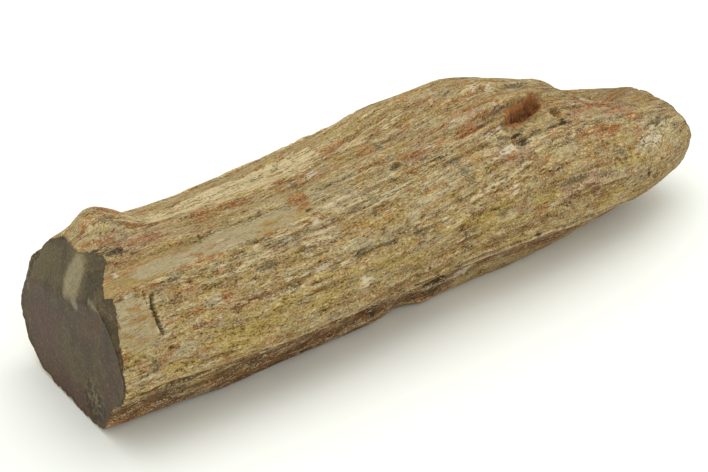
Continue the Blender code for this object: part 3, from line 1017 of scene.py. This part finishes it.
@dataclass
class Log:
    """The log as one closed mesh: its skin on lines of grain, and the broken faces at its ends."""

    form: Form
    weathering: Weathering = field(default_factory=Weathering)
    fan: Fan = field(default_factory=Fan)
    rows: int = 236
    lines: int = 368
    crowded_at: float = 40
    crowding: float = 20
    row_crowding: float = 1.4
    rows_crowded_at: float = 0.055
    rows_crowded_over: float = 0.04
    search_step: float = 0.5
    rim_rings: int = 6
    rim_ring_gap: float = 0.008
    rim_ring_growth: float = 0.12
    rings_each: int = 7
    halvings: int = 3
    proud_fade: float = 30
    face_sunk: float = 0.15
    face_edge: float = 0.06
    face_swell: float = 0.14
    face_swell_size: float = 16
    face_grain: float = 0.096
    face_grain_size: float = 2.6
    face_chip: float = 0.9
    face_chip_size: float = 4
    face_chip_share: float = 0.6
    blot_border: float = 5
    splinter: Texture = Texture(0.9, 16, 2.4, 3)
    break_lump: float = 0.54
    break_lump_size: float = 7
    rim_dark: float = 0.55
    rim_dark_reach: float = 3.0
    tan_reach: float = 1.8
    facet_starts: float = 0.9
    facet_edge: float = 0.6
    wrap_ragged: Texture = Texture(0.6, 4, 3, 2)
    wrap_edge: float = 0.9
    mark_border: Texture = Texture(1.0, 7, 2.2, 3)
    level_height: float = 0.45

    MOTTLE_SEED = 50
    ROW_STEPS = 8
    LEVEL_ALONG = 2.0
    LEVEL_AROUND = 3.0

    def grain_lines(self) -> Array:
        """The grain angle of each line of points; they are closest on the upper front, where most shows."""
        even = np.arange(self.lines) * 360 / self.lines
        return even - self.crowding * np.sin(np.radians(even - self.crowded_at))

    def row_shares(self) -> Array:
        """How far along the log each row of points lies, from 0 to 1; they are closest by the flat end.

        Returns:
            A share for each row.
        """
        even = np.linspace(0, 1, self.rows * self.ROW_STEPS)
        past = (even - self.rows_crowded_at) / self.rows_crowded_over
        passed = np.cumsum(1 + self.row_crowding * np.exp(-(past**2)))
        return np.interp(np.linspace(passed[0], passed[-1], self.rows), passed, even)

    def line_end(self, grain: Array, side: int) -> Array:
        """Where along the log each line of grain meets the breaks at one end.

        Args:
            grain: the grain angles of the lines.
            side: -1 for the flat end and 1 for the tapered end.

        Returns:
            A place along the log for each line.
        """
        tip = self.form.low[0] if side < 0 else self.form.high[0]
        steps = tip - side * np.arange(0, (self.form.high[0] - self.form.low[0]) / 2, self.search_step)
        along, lines = np.meshgrid(steps, grain, indexing="ij")
        points = self.form.points_at(along.ravel(), self.fan.around(along.ravel(), lines.ravel()))
        beyond = self.form.beyond(points, side).reshape(along.shape)
        inside = np.argmax(beyond <= 0, axis=0)
        ends = np.empty(len(grain))
        for k, i in enumerate(inside):
            if i == 0:
                ends[k] = steps[0]
                continue
            out, in_ = beyond[i - 1, k], beyond[i, k]
            ends[k] = steps[i - 1] + (steps[i] - steps[i - 1]) * out / (out - in_)
        return ends

    def skin_places(self) -> tuple[Skin, Array]:
        """The places of the skin's points, row by row, and how far each is from the nearest end.

        Returns:
            The places, and their distances from the nearest end.
        """
        grain = self.grain_lines()
        first, last = self.line_end(grain, -1), self.line_end(grain, 1)
        along = (first + (last - first) * self.row_shares()[:, None]).ravel()
        from_end = np.minimum(along - np.tile(first, self.rows), np.tile(last, self.rows) - along)
        grains = np.tile(grain, self.rows)
        return Skin(along, grains, np.ones(len(along))), from_end

    def cap(self, rim: Array, grain: Array, side: int) -> tuple[Array, Skin, list[list[int]]]:
        """A broken face, as rings of points inside the skin's last row.

        Args:
            rim: the points of that row.
            grain: their grain angles.
            side: -1 for the flat end and 1 for the tapered end.

        Returns:
            The face's points, their places, and its faces. In the faces, an index below 0 is a point of the
            rim, counted from -1, and others are points of the face.
        """
        middle = rim.mean(axis=0)
        proud = rim[:, 0] - self.form.end_along(rim, side)
        counts = [1] * self.rim_rings
        counts += [2**k for k in range(1, self.halvings + 1) for _ in range(self.rings_each)]
        shares = [
            1 - self.rim_ring_gap * k * (1 + self.rim_ring_growth * k) for k in range(1, self.rim_rings + 1)
        ]
        inner = np.linspace(shares[-1], 0, len(counts) - self.rim_rings + 2)[1:-1]
        points, places, faces = [], [], []
        ring = [-1 - k for k in range(len(rim))]
        total = 0
        for count, share in zip(counts, [*shares, *inner]):
            flat = middle + (rim[::count] - middle) * share
            flat[:, 0] = self.form.end_along(flat, side) + proud[::count] * share**self.proud_fade
            points.append(flat)
            places.append((grain[::count], np.full(len(flat), share)))
            following = list(range(total, total + len(flat)))
            total += len(flat)
            faces += strip(ring, following)
            ring = following
        centre = middle.copy()
        centre[0] = self.form.end_along(centre[None], side)[0]
        points.append(centre[None])
        places.append((np.zeros(1), np.zeros(1)))
        faces += [[ring[k], ring[(k + 1) % len(ring)], total] for k in range(len(ring))]
        flat = np.concatenate(points)
        grains, reach = (np.concatenate(part) for part in zip(*places))
        skin = Skin(flat[:, 0], grains, reach)
        flat[:, 0] -= side * self.sunk_face(flat, skin, side)
        return flat, skin, faces

    def sunk_face(self, points: Array, skin: Skin, side: int) -> Array:
        """How far a broken face lies behind the plane of its break.

        Args:
            points: the face's points, one row each.
            skin: their places in the grain.
            side: -1 for the flat end and 1 for the tapered end.

        Returns:
            A depth for each point.
        """
        noise, finer = self.weathering.noise, self.weathering.finer
        away = smoothstep((1 - skin.share) / self.face_edge)
        if side < 0:
            swell = self.face_swell * (noise.layered(points / self.face_swell_size, 2) + 1)
            grit = self.face_grain * (finer.layered(points / self.face_grain_size, 2) + 1)
            border = noise.at(points / self.blot_border)
            crust = np.max([blot.cover(points, border) for blot in CRUSTS], axis=0)
            chips = finer.layered(points / self.face_chip_size, 2) + self.face_chip_share
            return away * (swell + grit) + self.face_sunk + crust * self.face_chip * chips
        lumps = self.break_lump * finer.at(points / self.break_lump_size)
        splinters = self.splinter.relief(skin, noise) + self.splinter.height
        return away * (splinters + lumps) + self.face_sunk

    def build(self) -> bpy.types.Object:
        """Builds the mesh with what its finish needs to know about each point.

        Returns:
            The object, in metres, at the frame's origin.
        """
        skin, from_end = self.skin_places()
        raised = self.weathering.relief(skin, from_end)
        points = self.form.points_at(skin.along, self.fan.around(skin.along, skin.grain), raised)
        faces = self.skin_faces()
        sheets = [Sheet(points, skin, self.level(raised), self.wrap(skin, from_end), from_end)]
        for side, row in ((-1, 0), (1, self.rows - 1)):
            start = row * self.lines
            flat, places, cap_faces = self.cap(points[start:start + self.lines], self.grain_lines(), side)
            before = sum(len(sheet.points) for sheet in sheets)
            whole = [[start - 1 - k if k < 0 else before + k for k in face] for face in cap_faces]
            faces += [face[::side] for face in whole]
            none = np.zeros(len(flat))
            sheets.append(Sheet(flat, places, none, none + (side < 0), none))
        sheet = Sheet.joined(sheets)
        sheet.points = np.clip(sheet.points, self.form.low, self.form.high)
        mesh = bpy.data.meshes.new("log_surface")
        mesh.from_pydata((sheet.points * MM).tolist(), [], faces)
        mesh.validate()
        mesh.shade_smooth()
        self.describe(mesh, sheet)
        surface = bpy.data.objects.new("log_surface", mesh)
        bpy.context.scene.collection.objects.link(surface)
        return surface

    def skin_faces(self) -> list[list[int]]:
        """The faces between the skin's rows and lines.

        Returns:
            The corners of each face, as indices of points.
        """
        faces = []
        for i in range(self.rows - 1):
            near, far = i * self.lines, (i + 1) * self.lines
            for j in range(self.lines):
                k = (j + 1) % self.lines
                faces.append([near + j, near + k, far + k, far + j])
        return faces

    def level(self, raised: Array) -> Array:
        """How far each point of the skin stands above the skin near it, from -1 to 1, for painted highlight
        and shade.

        Args:
            raised: how far each point stands out from the smooth form.

        Returns:
            A level for each point.
        """
        grid = raised.reshape(self.rows, self.lines)
        near = blurred(blurred(grid, self.LEVEL_ALONG, 0), self.LEVEL_AROUND, 1, wraps=True)
        return np.clip((grid - near) / self.level_height, -1, 1).ravel()

    def wrap(self, skin: Skin, from_end: Array) -> Array:
        """Where the dark stone of the flat end shows past its rim, on the skin, from 0 to 1.

        Args:
            skin: places on the skin.
            from_end: how far each place is from the broken end nearest to it.

        Returns:
            A share from 0 to 1 for each place.
        """
        width = np.interp(apart(skin.grain, 0), list(FACE_WRAP), list(FACE_WRAP.values()), left=0, right=0)
        ragged = self.wrap_ragged.relief(skin, self.weathering.finer)
        shown = smoothstep((width + ragged - from_end) / self.wrap_edge)
        return shown * (1 - PALE_RIDGE.cover(skin, ragged)) * (skin.along < 0) * (width > 0)

    def describe(self, mesh: bpy.types.Mesh, sheet: Sheet) -> None:
        """Stores at each point of the mesh what the finish needs.

        Args:
            mesh: the log's mesh.
            sheet: its points and what is known of them.
        """
        points, skin, face = sheet.points, sheet.skin, sheet.face
        calm = self.weathering.calm(skin)
        wander = self.weathering.wander(skin)
        hollow = HOLLOW_WALLS.cover(skin, wander)
        border = self.mark_border.relief(skin, self.weathering.finer)
        cloud = self.weathering.finer.layered(points / self.blot_border, 2)
        facet = smoothstep((points[:, 0] - self.form.low[0] - self.facet_starts) / self.facet_edge)
        numbers = {
            "level": sheet.level,
            "cut_face": face,
            "calm": np.maximum(calm, hollow),
            "hollow": hollow,
            "stain": HOLLOW_STAIN.cover(skin, wander),
            # How deep in the hollow's slit each point lies, for the painted shade there.
            "slit_shade_mask": HOLLOW.cover(skin, wander),
            # How open the skin's splits and cracks are, for the painted shade in them.
            "gap": self.weathering.painted_gap_shade(skin) * (1 - face),
            "facet": facet * face,
            "crust": np.max([blot.cover(points, cloud) for blot in CRUSTS], axis=0) * face,
        }
        for k, mottle in enumerate(MOTTLES):
            numbers[mottle.tone.mark] = mottle.cover(skin, border, calm, Noise(self.MOTTLE_SEED + k))
        for tone, blots in FACE_MARKS.items():
            numbers[tone.mark] = np.max([blot.cover(points, cloud) for blot in blots], axis=0) * face
        numbers[Tone.FACE_TAN.mark] *= np.exp(-((sheet.past / self.tan_reach) ** 2))
        rim = self.rim_dark * face * smoothstep(sheet.past / self.rim_dark_reach)
        numbers[Tone.FACE_DARK.mark] = np.maximum(numbers[Tone.FACE_DARK.mark], rim)
        store(mesh, "grain_place", "FLOAT_VECTOR", skin.stretched)
        for name, values in numbers.items():
            store(mesh, name, "FLOAT", values)


def strip(outer: Sequence[int], inner: Sequence[int]) -> list[list[int]]:
    """Faces between two rings, where the inner ring has as many points as the outer one, or half as many.

    Args:
        outer: indices of the outer ring's points, in turn.
        inner: indices of the inner ring's points, in turn.

    Returns:
        The corners of each face, as indices of points.
    """
    size = len(inner)
    if len(outer) == size:
        return [[outer[k], outer[(k + 1) % size], inner[(k + 1) % size], inner[k]] for k in range(size)]
    faces = []
    for k in range(size):
        a, b, c = outer[2 * k], outer[2 * k + 1], outer[(2 * k + 2) % len(outer)]
        here, there = inner[k], inner[(k + 1) % size]
        faces += [[a, b, here], [b, c, there], [b, there, here]]
    return faces


def store(mesh: bpy.types.Mesh, name: str, kind: str, values: Array) -> None:
    """Stores one value, or one vector, for each point of a mesh.

    Args:
        mesh: the mesh.
        name: what the values are stored as.
        kind: FLOAT for values, or FLOAT_VECTOR for vectors.
        values: a value or a row for each point.
    """
    attribute = mesh.attributes.new(name, kind, "POINT")
    key = "vector" if kind == "FLOAT_VECTOR" else "value"
    attribute.data.foreach_set(key, np.ascontiguousarray(values, np.float32).ravel())


Link = Union["Value", bpy.types.NodeSocket, float, Sequence[float]]


@dataclass
class Graph:
    """The node tree of one material."""

    tree: bpy.types.NodeTree

    def node(
        self, kind: str, settings: Optional[dict] = None, inputs: Optional[dict] = None
    ) -> bpy.types.Node:
        """Adds a node.

        Args:
            kind: the node's type.
            settings: its own settings, set first.
            inputs: a value or a link for each socket, by its name or its place.

        Returns:
            The node.
        """
        made = self.tree.nodes.new(kind)
        for name, value in (settings or {}).items():
            setattr(made, name, value)
        for socket, value in (inputs or {}).items():
            self.feed(made.inputs[socket], value)
        return made

    def feed(self, socket: bpy.types.NodeSocket, value: Link) -> None:
        """Gives a socket a value or a link.

        Args:
            socket: the socket of a node.
            value: its value, or what is linked to it.
        """
        if isinstance(value, Value):
            value = value.socket
        if isinstance(value, bpy.types.NodeSocket):
            self.tree.links.new(value, socket)
        else:
            socket.default_value = value

    def number(self, name: str) -> "Value":
        """A number stored at each point of the mesh."""
        made = self.node("ShaderNodeAttribute", {"attribute_name": name})
        return Value(self, made.outputs["Fac"])

    def vector(self, name: str) -> bpy.types.NodeSocket:
        """A vector stored at each point of the mesh."""
        return self.node("ShaderNodeAttribute", {"attribute_name": name}).outputs["Vector"]

    def in_grain(self, length: float, width: float) -> bpy.types.NodeSocket:
        """Places in the grain, in units of a length along it and a width across it, in millimetres."""
        inputs = {0: self.vector("grain_place"), 1: (1 / length, 1 / width, 1 / width)}
        return self.node("ShaderNodeVectorMath", {"operation": "MULTIPLY"}, inputs).outputs[0]

    def noise_node(self, place: Link, scale: float, detail: float, roughness: float) -> bpy.types.Node:
        """A Noise Texture node."""
        inputs = {"Vector": place, "Scale": scale, "Detail": detail, "Roughness": roughness}
        return self.node("ShaderNodeTexNoise", {"noise_dimensions": "3D"}, inputs)

    def noise(self, place: Link, scale: float, detail: float, roughness: float) -> "Value":
        """Noise at a place, about from 0 to 1, with 0.5 the most common."""
        return Value(self, self.noise_node(place, scale, detail, roughness).outputs["Fac"])

    def noises(self, place: Link, scale: float, detail: float, roughness: float) -> list["Value"]:
        """Three noises at a place, each like the one that noise gives.

        Args:
            place: where the noise is taken.
            scale: how many cells fit in a unit.
            detail: how many finer layers it has.
            roughness: how strong those are.

        Returns:
            The three noises.
        """
        made = self.noise_node(place, scale, detail, roughness)
        parts = self.node("ShaderNodeSeparateColor", None, {"Color": made.outputs["Color"]})
        return [Value(self, socket) for socket in parts.outputs]

    def mix(self, share: Link, first: Link, second: Link) -> bpy.types.NodeSocket:
        """A colour between two colours."""
        settings = {"data_type": "RGBA", "clamp_factor": True}
        return self.node("ShaderNodeMix", settings, {0: share, 6: first, 7: second}).outputs[2]


@dataclass
class Value:
    """A number in a material's node tree. Adding, subtracting and multiplying add the nodes that do it."""

    graph: Graph
    socket: bpy.types.NodeSocket

    def _math(self, operation: str, *numbers: Link) -> "Value":
        """Adds one Math node."""
        made = self.graph.node("ShaderNodeMath", {"operation": operation}, dict(enumerate(numbers)))
        return Value(self.graph, made.outputs[0])

    def __add__(self, other: Link) -> "Value":
        """The sum."""
        return self._math("ADD", self, other)

    __radd__ = __add__

    def __sub__(self, other: Link) -> "Value":
        """The difference."""
        return self._math("SUBTRACT", self, other)

    def __rsub__(self, other: Link) -> "Value":
        """The difference, with this number taken away."""
        return self._math("SUBTRACT", other, self)

    def __mul__(self, other: Link) -> "Value":
        """The product."""
        return self._math("MULTIPLY", self, other)

    def over(self, low: float, high: float) -> "Value":
        """0 below low, 1 above high, and smooth between them; it falls instead where high is the lower.

        Args:
            low: where the result is 0.
            high: where it is 1.

        Returns:
            The result, from 0 to 1.
        """
        inputs = {"Value": self, "From Min": low, "From Max": high, "To Min": 0.0, "To Max": 1.0}
        made = self.graph.node("ShaderNodeMapRange", {"interpolation_type": "SMOOTHSTEP"}, inputs)
        return Value(self.graph, made.outputs["Result"])


@dataclass(frozen=True)
class Wash:
    """A tone that a number lays over a colour, from none of it at one value to the most of it at another."""

    tone: Tone
    none: float
    most: float
    strength: float = 1.0

    def over(self, graph: Graph, number: Value, colour: Link) -> bpy.types.NodeSocket:
        """The colour with the tone laid over it."""
        return graph.mix(number.over(self.none, self.most) * self.strength, colour, self.tone.linear)


def washed(graph: Graph, colour: Link, washes: Sequence[Wash], numbers: Sequence[Value]) -> Link:
    """A colour with washes laid over it in turn, each by its own number.

    Args:
        graph: the material's nodes.
        colour: the colour below.
        washes: the washes, the lowest first.
        numbers: the number that lays each wash.

    Returns:
        The colour.
    """
    for wash, number in zip(washes, numbers):
        colour = wash.over(graph, number, colour)
    return colour


VEIN_SIZES = ((26, 6.0), (7, 2.0))
VEINS = (
    Wash(Tone.RUST, 0.47, 0.68, 0.6), Wash(Tone.HONEY, 0.47, 0.68, 0.7), Wash(Tone.ASH, 0.46, 0.66, 0.7),
)
# Umber and cream laid by the grain's noise, and by the relief: painted shade on sunk points, painted
# highlight on raised ones.
SHADES = (Wash(Tone.UMBER, 0.1, -1.2), Wash(Tone.CREAM, 0.0, 1.3, 0.9))
CRUMBS = (Wash(Tone.DARK_STONE_AND_SHADE, 0.34, 0.26, 0.6), Wash(Tone.CHALK, 0.67, 0.76, 0.5))
HOLLOW_STONE = (
    Wash(Tone.OCHRE, 0.4, 0.6, 0.6), Wash(Tone.ASH, 0.5, 0.62, 0.6), Wash(Tone.UMBER, 0.55, 0.38, 0.7),
)
HOLLOW_RUST = (Wash(Tone.RUST, 0.38, 0.54, 0.9), Wash(Tone.STRAW, 0.5, 0.64, 0.5))
FACE_CLOUDS = (
    Wash(Tone.FACE_OLIVE, 0.42, 0.66, 0.55),
    Wash(Tone.FACE_MAROON, 0.45, 0.65, 0.6),
    Wash(Tone.FACE_DARK, 0.55, 0.35, 0.45),
)
FACE_GRAIN = (Wash(Tone.FACE_DARK, 0.52, 0.3, 0.5), Wash(Tone.FACE_TAN, 0.53, 0.75, 0.3))


@dataclass(frozen=True)
class StoneFinish:
    """Silicified wood: streaked along the grain, speckled, dull, with a darker and smoother flat end."""

    name: str = "petrified_wood"
    skin_roughness: tuple[float, float] = (0.68, 0.94)
    face_roughness: float = 0.55
    bump_height: float = 0.0009
    bump_strength: float = 0.9
    specular: float = 0.18
    shade_size: tuple[float, float] = (16, 3.6)
    streak_size: tuple[float, float] = (7.5, 1.1)
    fibre_size: tuple[float, float] = (2.6, 0.55)
    crumb_size: tuple[float, float] = (0.9, 0.55)
    crumb_detail: float = 2
    contrasts: tuple[float, float, float, float] = (1.8, 1.7, 3.0, 3.8)
    border_contrasts: tuple[float, float] = (1.6, 1.8)
    painted_relief_shade: float = 0.35
    calm_share: float = 0.5
    painted_crevice_shade: float = 0.85
    hollow_torn: float = 1.2
    stain_torn: float = 1.8
    painted_slit_shade: tuple[float, float] = (0.65, 0.2)
    facet_olive: float = 0.55
    face_mark: float = 0.75
    face_mark_clouds: float = 0.8
    crust_tan: float = 0.4
    face_smooth: float = 0.92
    hollow_smooth: float = 0.95
    streak_height: float = 1.2
    crumb_height: float = 0.6
    fine_height: float = 0.3

    TORN_CELLS = 320
    HOLLOW_CELLS = 420
    FACE_CELLS = 100
    FLAKE_CELLS = 500
    FINE_CELLS = 900
    CLOUD_DETAIL = 4
    HOLLOW_DETAIL = 5
    GRIT_DETAIL = 3
    STREAK_ROUGHNESS = 0.68
    VEIN_ROUGHNESS = 0.6
    GRIT_ROUGHNESS = 0.65
    HOLLOW_ROUGHNESS = 0.7
    MARK_EDGE = (0.0, 0.3)
    MARK_COVER = (0.1, 1.0)
    HOLLOW_EDGE = (0.3, 0.7)
    STAIN_EDGE = (0.3, 0.6)
    SLIT_SHADE_EDGE = (0.62, 0.42)
    FLAKES_DARK = (0.53, 0.45)
    FLAKES_TAN = (0.52, 0.60)
    FACE_EDGE = (0.35, 0.65)
    DULL_FIBRES = (0.7, 0.3)

    def streaks(self, graph: Graph, size: tuple[float, float], detail: float = 3) -> Value:
        """Noise stretched along the grain, with streaks of about a length and a width in millimetres."""
        return graph.noise(graph.in_grain(*size), 1.0, detail, self.STREAK_ROUGHNESS)

    def contrast(self, numbers: Sequence[Value], strengths: Sequence[float]) -> Value:
        """Several noises in one: each one's distance from its middle, times its strength."""
        parts = [(number - 0.5) * strength for number, strength in zip(numbers, strengths)]
        return sum(parts[1:], parts[0])

    def skin_colour(
        self, graph: Graph, place: Link, streaks: Value, fibres: Value, crumbs: Value
    ) -> bpy.types.NodeSocket:
        """The skin's colour.

        Args:
            graph: the material's nodes.
            place: places in space.
            streaks: the coarsest of three sizes of grain.
            fibres: the middle one.
            crumbs: the finest one.

        Returns:
            The colour, from veins, mottles, painted shade in splits and cracks, shades of the grain with
            painted highlight and shade from the relief, and the hollow.
        """
        colour = Tone.STRAW.linear
        for length, width in VEIN_SIZES:
            veins = graph.noises(graph.in_grain(length, width), 1.0, self.CLOUD_DETAIL, self.VEIN_ROUGHNESS)
            colour = washed(graph, colour, VEINS, veins)
        ragged = self.contrast((streaks, fibres), self.border_contrasts)
        for mottle in MOTTLES:
            mark = graph.number(mottle.tone.mark)
            cover = (mark + ragged * mark.over(*self.MARK_EDGE)).over(*self.MARK_COVER)
            colour = graph.mix(cover * mottle.strength, colour, mottle.tone.linear)
        # Painted shade in the skin's splits and cracks, darkest where they are deepest.
        colour = graph.mix(graph.number("gap") * self.painted_crevice_shade, colour, Tone.DARK_STONE_AND_SHADE.linear)
        shade = self.streaks(graph, self.shade_size)
        value = self.contrast((shade, streaks, fibres, crumbs), self.contrasts)
        # Painted highlight on points raised above the skin near them, and painted shade on sunk ones.
        value = value + graph.number("level") * self.painted_relief_shade
        value = value * (1 - graph.number("calm") * self.calm_share)
        colour = washed(graph, colour, SHADES + CRUMBS, (value, value, crumbs, crumbs))
        torn = graph.noise(place, self.TORN_CELLS, self.CLOUD_DETAIL, self.GRIT_ROUGHNESS) - 0.5
        hollow = (graph.number("hollow") + torn * self.hollow_torn).over(*self.HOLLOW_EDGE)
        return graph.mix(hollow, colour, self.hollow_colour(graph, place, torn))

    def hollow_colour(self, graph: Graph, place: Link, torn: Value) -> bpy.types.NodeSocket:
        """The hollow's colour, from places in space, because its walls stand across the grain's lines. It has
        a rust stain, and painted shade that is darkest in its slit.

        Args:
            graph: the material's nodes.
            place: places in space.
            torn: what tears the edges.

        Returns:
            The colour.
        """
        dark, pale, red = graph.noises(place, self.HOLLOW_CELLS, self.HOLLOW_DETAIL, self.HOLLOW_ROUGHNESS)
        stone = washed(graph, Tone.STRAW.linear, HOLLOW_STONE, (red, pale, dark))
        rust = washed(graph, Tone.BRICK.linear, HOLLOW_RUST, (red, pale))
        stain = (graph.number("stain") + torn * self.stain_torn).over(*self.STAIN_EDGE)
        # Painted shade: darkens the hollow a little, and its slit most.
        by_depth, anywhere = self.painted_slit_shade
        slit_shade = dark.over(*self.SLIT_SHADE_EDGE) * (graph.number("slit_shade_mask") * by_depth + anywhere)
        return graph.mix(slit_shade, graph.mix(stain, stone, rust), Tone.DARK_STONE_AND_SHADE.linear)

    def face_colour(self, graph: Graph, place: Link, fine: Value) -> bpy.types.NodeSocket:
        """The flat end's colour, from its clouds, marks, crust and fine grain.

        Args:
            graph: the material's nodes.
            place: places in space.
            fine: the finest noise.

        Returns:
            The colour.
        """
        clouds, red, dark = graph.noises(place, self.FACE_CELLS, self.CLOUD_DETAIL, self.VEIN_ROUGHNESS)
        colour = washed(graph, Tone.FACE.linear, FACE_CLOUDS, (clouds, red, dark))
        colour = graph.mix(graph.number("facet") * self.facet_olive, colour, Tone.FACE_OLIVE.linear)
        clouded = self.face_mark + (clouds - 0.5) * self.face_mark_clouds
        for tone in FACE_MARKS:
            colour = graph.mix(graph.number(tone.mark) * clouded, colour, tone.linear)
        crust = graph.number("crust")
        flakes = graph.noise(place, self.FLAKE_CELLS, self.GRIT_DETAIL, self.GRIT_ROUGHNESS)
        colour = graph.mix(crust * flakes.over(*self.FLAKES_DARK), colour, Tone.FACE_DARK.linear)
        tan = crust * flakes.over(*self.FLAKES_TAN) * self.crust_tan
        colour = graph.mix(tan, colour, Tone.FACE_TAN.linear)
        return washed(graph, colour, FACE_GRAIN, (fine, fine))

    def build(self) -> bpy.types.Material:
        """Makes the material.

        Returns:
            The material.
        """
        material = bpy.data.materials.new(self.name)
        material.use_nodes = True
        graph = Graph(material.node_tree)
        shader = material.node_tree.nodes["Principled BSDF"]
        place = graph.node("ShaderNodeNewGeometry").outputs["Position"]
        streaks = self.streaks(graph, self.streak_size)
        fibres = self.streaks(graph, self.fibre_size)
        crumbs = self.streaks(graph, self.crumb_size, self.crumb_detail)
        fine = graph.noise(place, self.FINE_CELLS, self.GRIT_DETAIL, self.GRIT_ROUGHNESS)
        face = graph.number("cut_face").over(*self.FACE_EDGE)
        skin = self.skin_colour(graph, place, streaks, fibres, crumbs)
        graph.feed(shader.inputs["Base Color"], graph.mix(face, skin, self.face_colour(graph, place, fine)))
        low, high = self.skin_roughness
        roughness = fibres.over(*self.DULL_FIBRES) * (high - low) + low
        graph.feed(shader.inputs["Roughness"], roughness * (1 - face) + face * self.face_roughness)
        streaked = (1 - face * self.face_smooth) * (1 - graph.number("hollow") * self.hollow_smooth)
        height = (streaks * self.streak_height + fibres + crumbs * self.crumb_height) * streaked
        height = height + fine * self.fine_height
        inputs = {"Strength": self.bump_strength, "Distance": self.bump_height, "Height": height}
        bump = graph.node("ShaderNodeBump", None, inputs)
        graph.feed(shader.inputs["Normal"], bump.outputs["Normal"])
        shader.inputs["Specular IOR Level"].default_value = self.specular
        return material


@dataclass(frozen=True)
class PaperFinish:
    """A plain pale surface to stand on."""

    name: str = "pale_floor"
    roughness: float = 0.9

    def build(self) -> bpy.types.Material:
        """Makes the material.

        Returns:
            The material.
        """
        material = bpy.data.materials.new(self.name)
        material.use_nodes = True
        shader = material.node_tree.nodes["Principled BSDF"]
        shader.inputs["Base Color"].default_value = Tone.PAPER.linear
        shader.inputs["Roughness"].default_value = self.roughness
        shader.inputs["Specular IOR Level"].default_value = 0.0
        return material


@dataclass(frozen=True)
class SoftLight:
    """A square soft light: where it hangs, its power and its size. It faces the log."""

    name: str
    place: tuple[float, float, float]
    power: float
    size: float

    def build(self) -> bpy.types.Object:
        """Hangs the light.

        Returns:
            The light.
        """
        lamp = bpy.data.lights.new(self.name, "AREA")
        lamp.energy = self.power
        lamp.size = self.size
        made = bpy.data.objects.new(self.name, lamp)
        made.location = self.place
        made.rotation_mode = "QUATERNION"
        made.rotation_quaternion = Vector(self.place).to_track_quat("Z", "Y")
        bpy.context.scene.collection.objects.link(made)
        return made


@dataclass(frozen=True)
class Viewpoint:
    """The camera: the way it looks from, in degrees, what it looks at, how far off, and its lens."""

    around: float = -36
    above: float = 30
    aim: tuple[float, float, float] = (-0.0296, -0.0062, 0.035)
    distance: float = 0.705
    lens: float = 80
    sensor: float = 36

    def build(self) -> bpy.types.Object:
        """Places the camera and makes it the scene's.

        Returns:
            The camera.
        """
        around, above = math.radians(self.around), math.radians(self.above)
        back = Vector((
            math.sin(around) * math.cos(above), -math.cos(around) * math.cos(above), math.sin(above)
        ))
        camera = bpy.data.cameras.new("camera")
        camera.lens = self.lens
        camera.sensor_width = self.sensor
        made = bpy.data.objects.new("camera", camera)
        made.location = Vector(self.aim) + back * self.distance
        made.rotation_mode = "QUATERNION"
        made.rotation_quaternion = (-back).to_track_quat("-Z", "Y")
        bpy.context.scene.collection.objects.link(made)
        bpy.context.scene.camera = made
        return made


@dataclass(frozen=True)
class Studio:
    """The floor, the soft lights, the pale surroundings and the camera."""

    half_floor: float = 3.0
    floor_drop: float = 0.0003
    surround: float = 0.8
    surround_tint: tuple[float, float, float] = (0.965, 1.0, 0.92)
    lights: tuple[SoftLight, ...] = (
        SoftLight("overhead_light", (0.10, 0.15, 1.3), 9, 1.4),
        SoftLight("front_light", (-0.6, -1.2, 0.9), 2.3, 0.9),
    )
    viewpoint: Viewpoint = field(default_factory=Viewpoint)

    def floor(self) -> bpy.types.Object:
        """Lays the floor.

        Returns:
            The floor.
        """
        half, down = self.half_floor, -self.floor_drop
        corners = [(-half, -half, down), (half, -half, down), (half, half, down), (-half, half, down)]
        mesh = bpy.data.meshes.new("floor")
        mesh.from_pydata(corners, [], [(0, 1, 2, 3)])
        mesh.materials.append(PaperFinish().build())
        made = bpy.data.objects.new("floor", mesh)
        bpy.context.scene.collection.objects.link(made)
        return made

    def build(self) -> None:
        """Sets up everything round the log."""
        scene = bpy.context.scene
        scene.view_settings.view_transform = "Standard"
        world = bpy.data.worlds.new("surroundings")
        world.use_nodes = True
        background = world.node_tree.nodes["Background"]
        background.inputs["Color"].default_value = (*self.surround_tint, 1)
        background.inputs["Strength"].default_value = self.surround
        scene.world = world
        self.floor()
        for light in self.lights:
            light.build()
        self.viewpoint.build()


def main() -> None:
    """Lays the surface over the frame's solid, dresses it and sets up the studio."""
    logging.basicConfig(level=logging.INFO, format="%(name)s: %(message)s")
    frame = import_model()
    form = Form(frame["nodes"][NODE])
    log.info("form: %d breaks, %d stations", len(form.breaks), len(form.stations))
    surface = Log(form).build()
    surface.data.materials.append(StoneFinish().build())
    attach(surface, "root")
    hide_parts(NODE)
    log.info("%s: %d faces", surface.name, len(surface.data.polygons))
    Studio().build()
    log.info("studio: set")


if __name__ == "__main__":
    main()
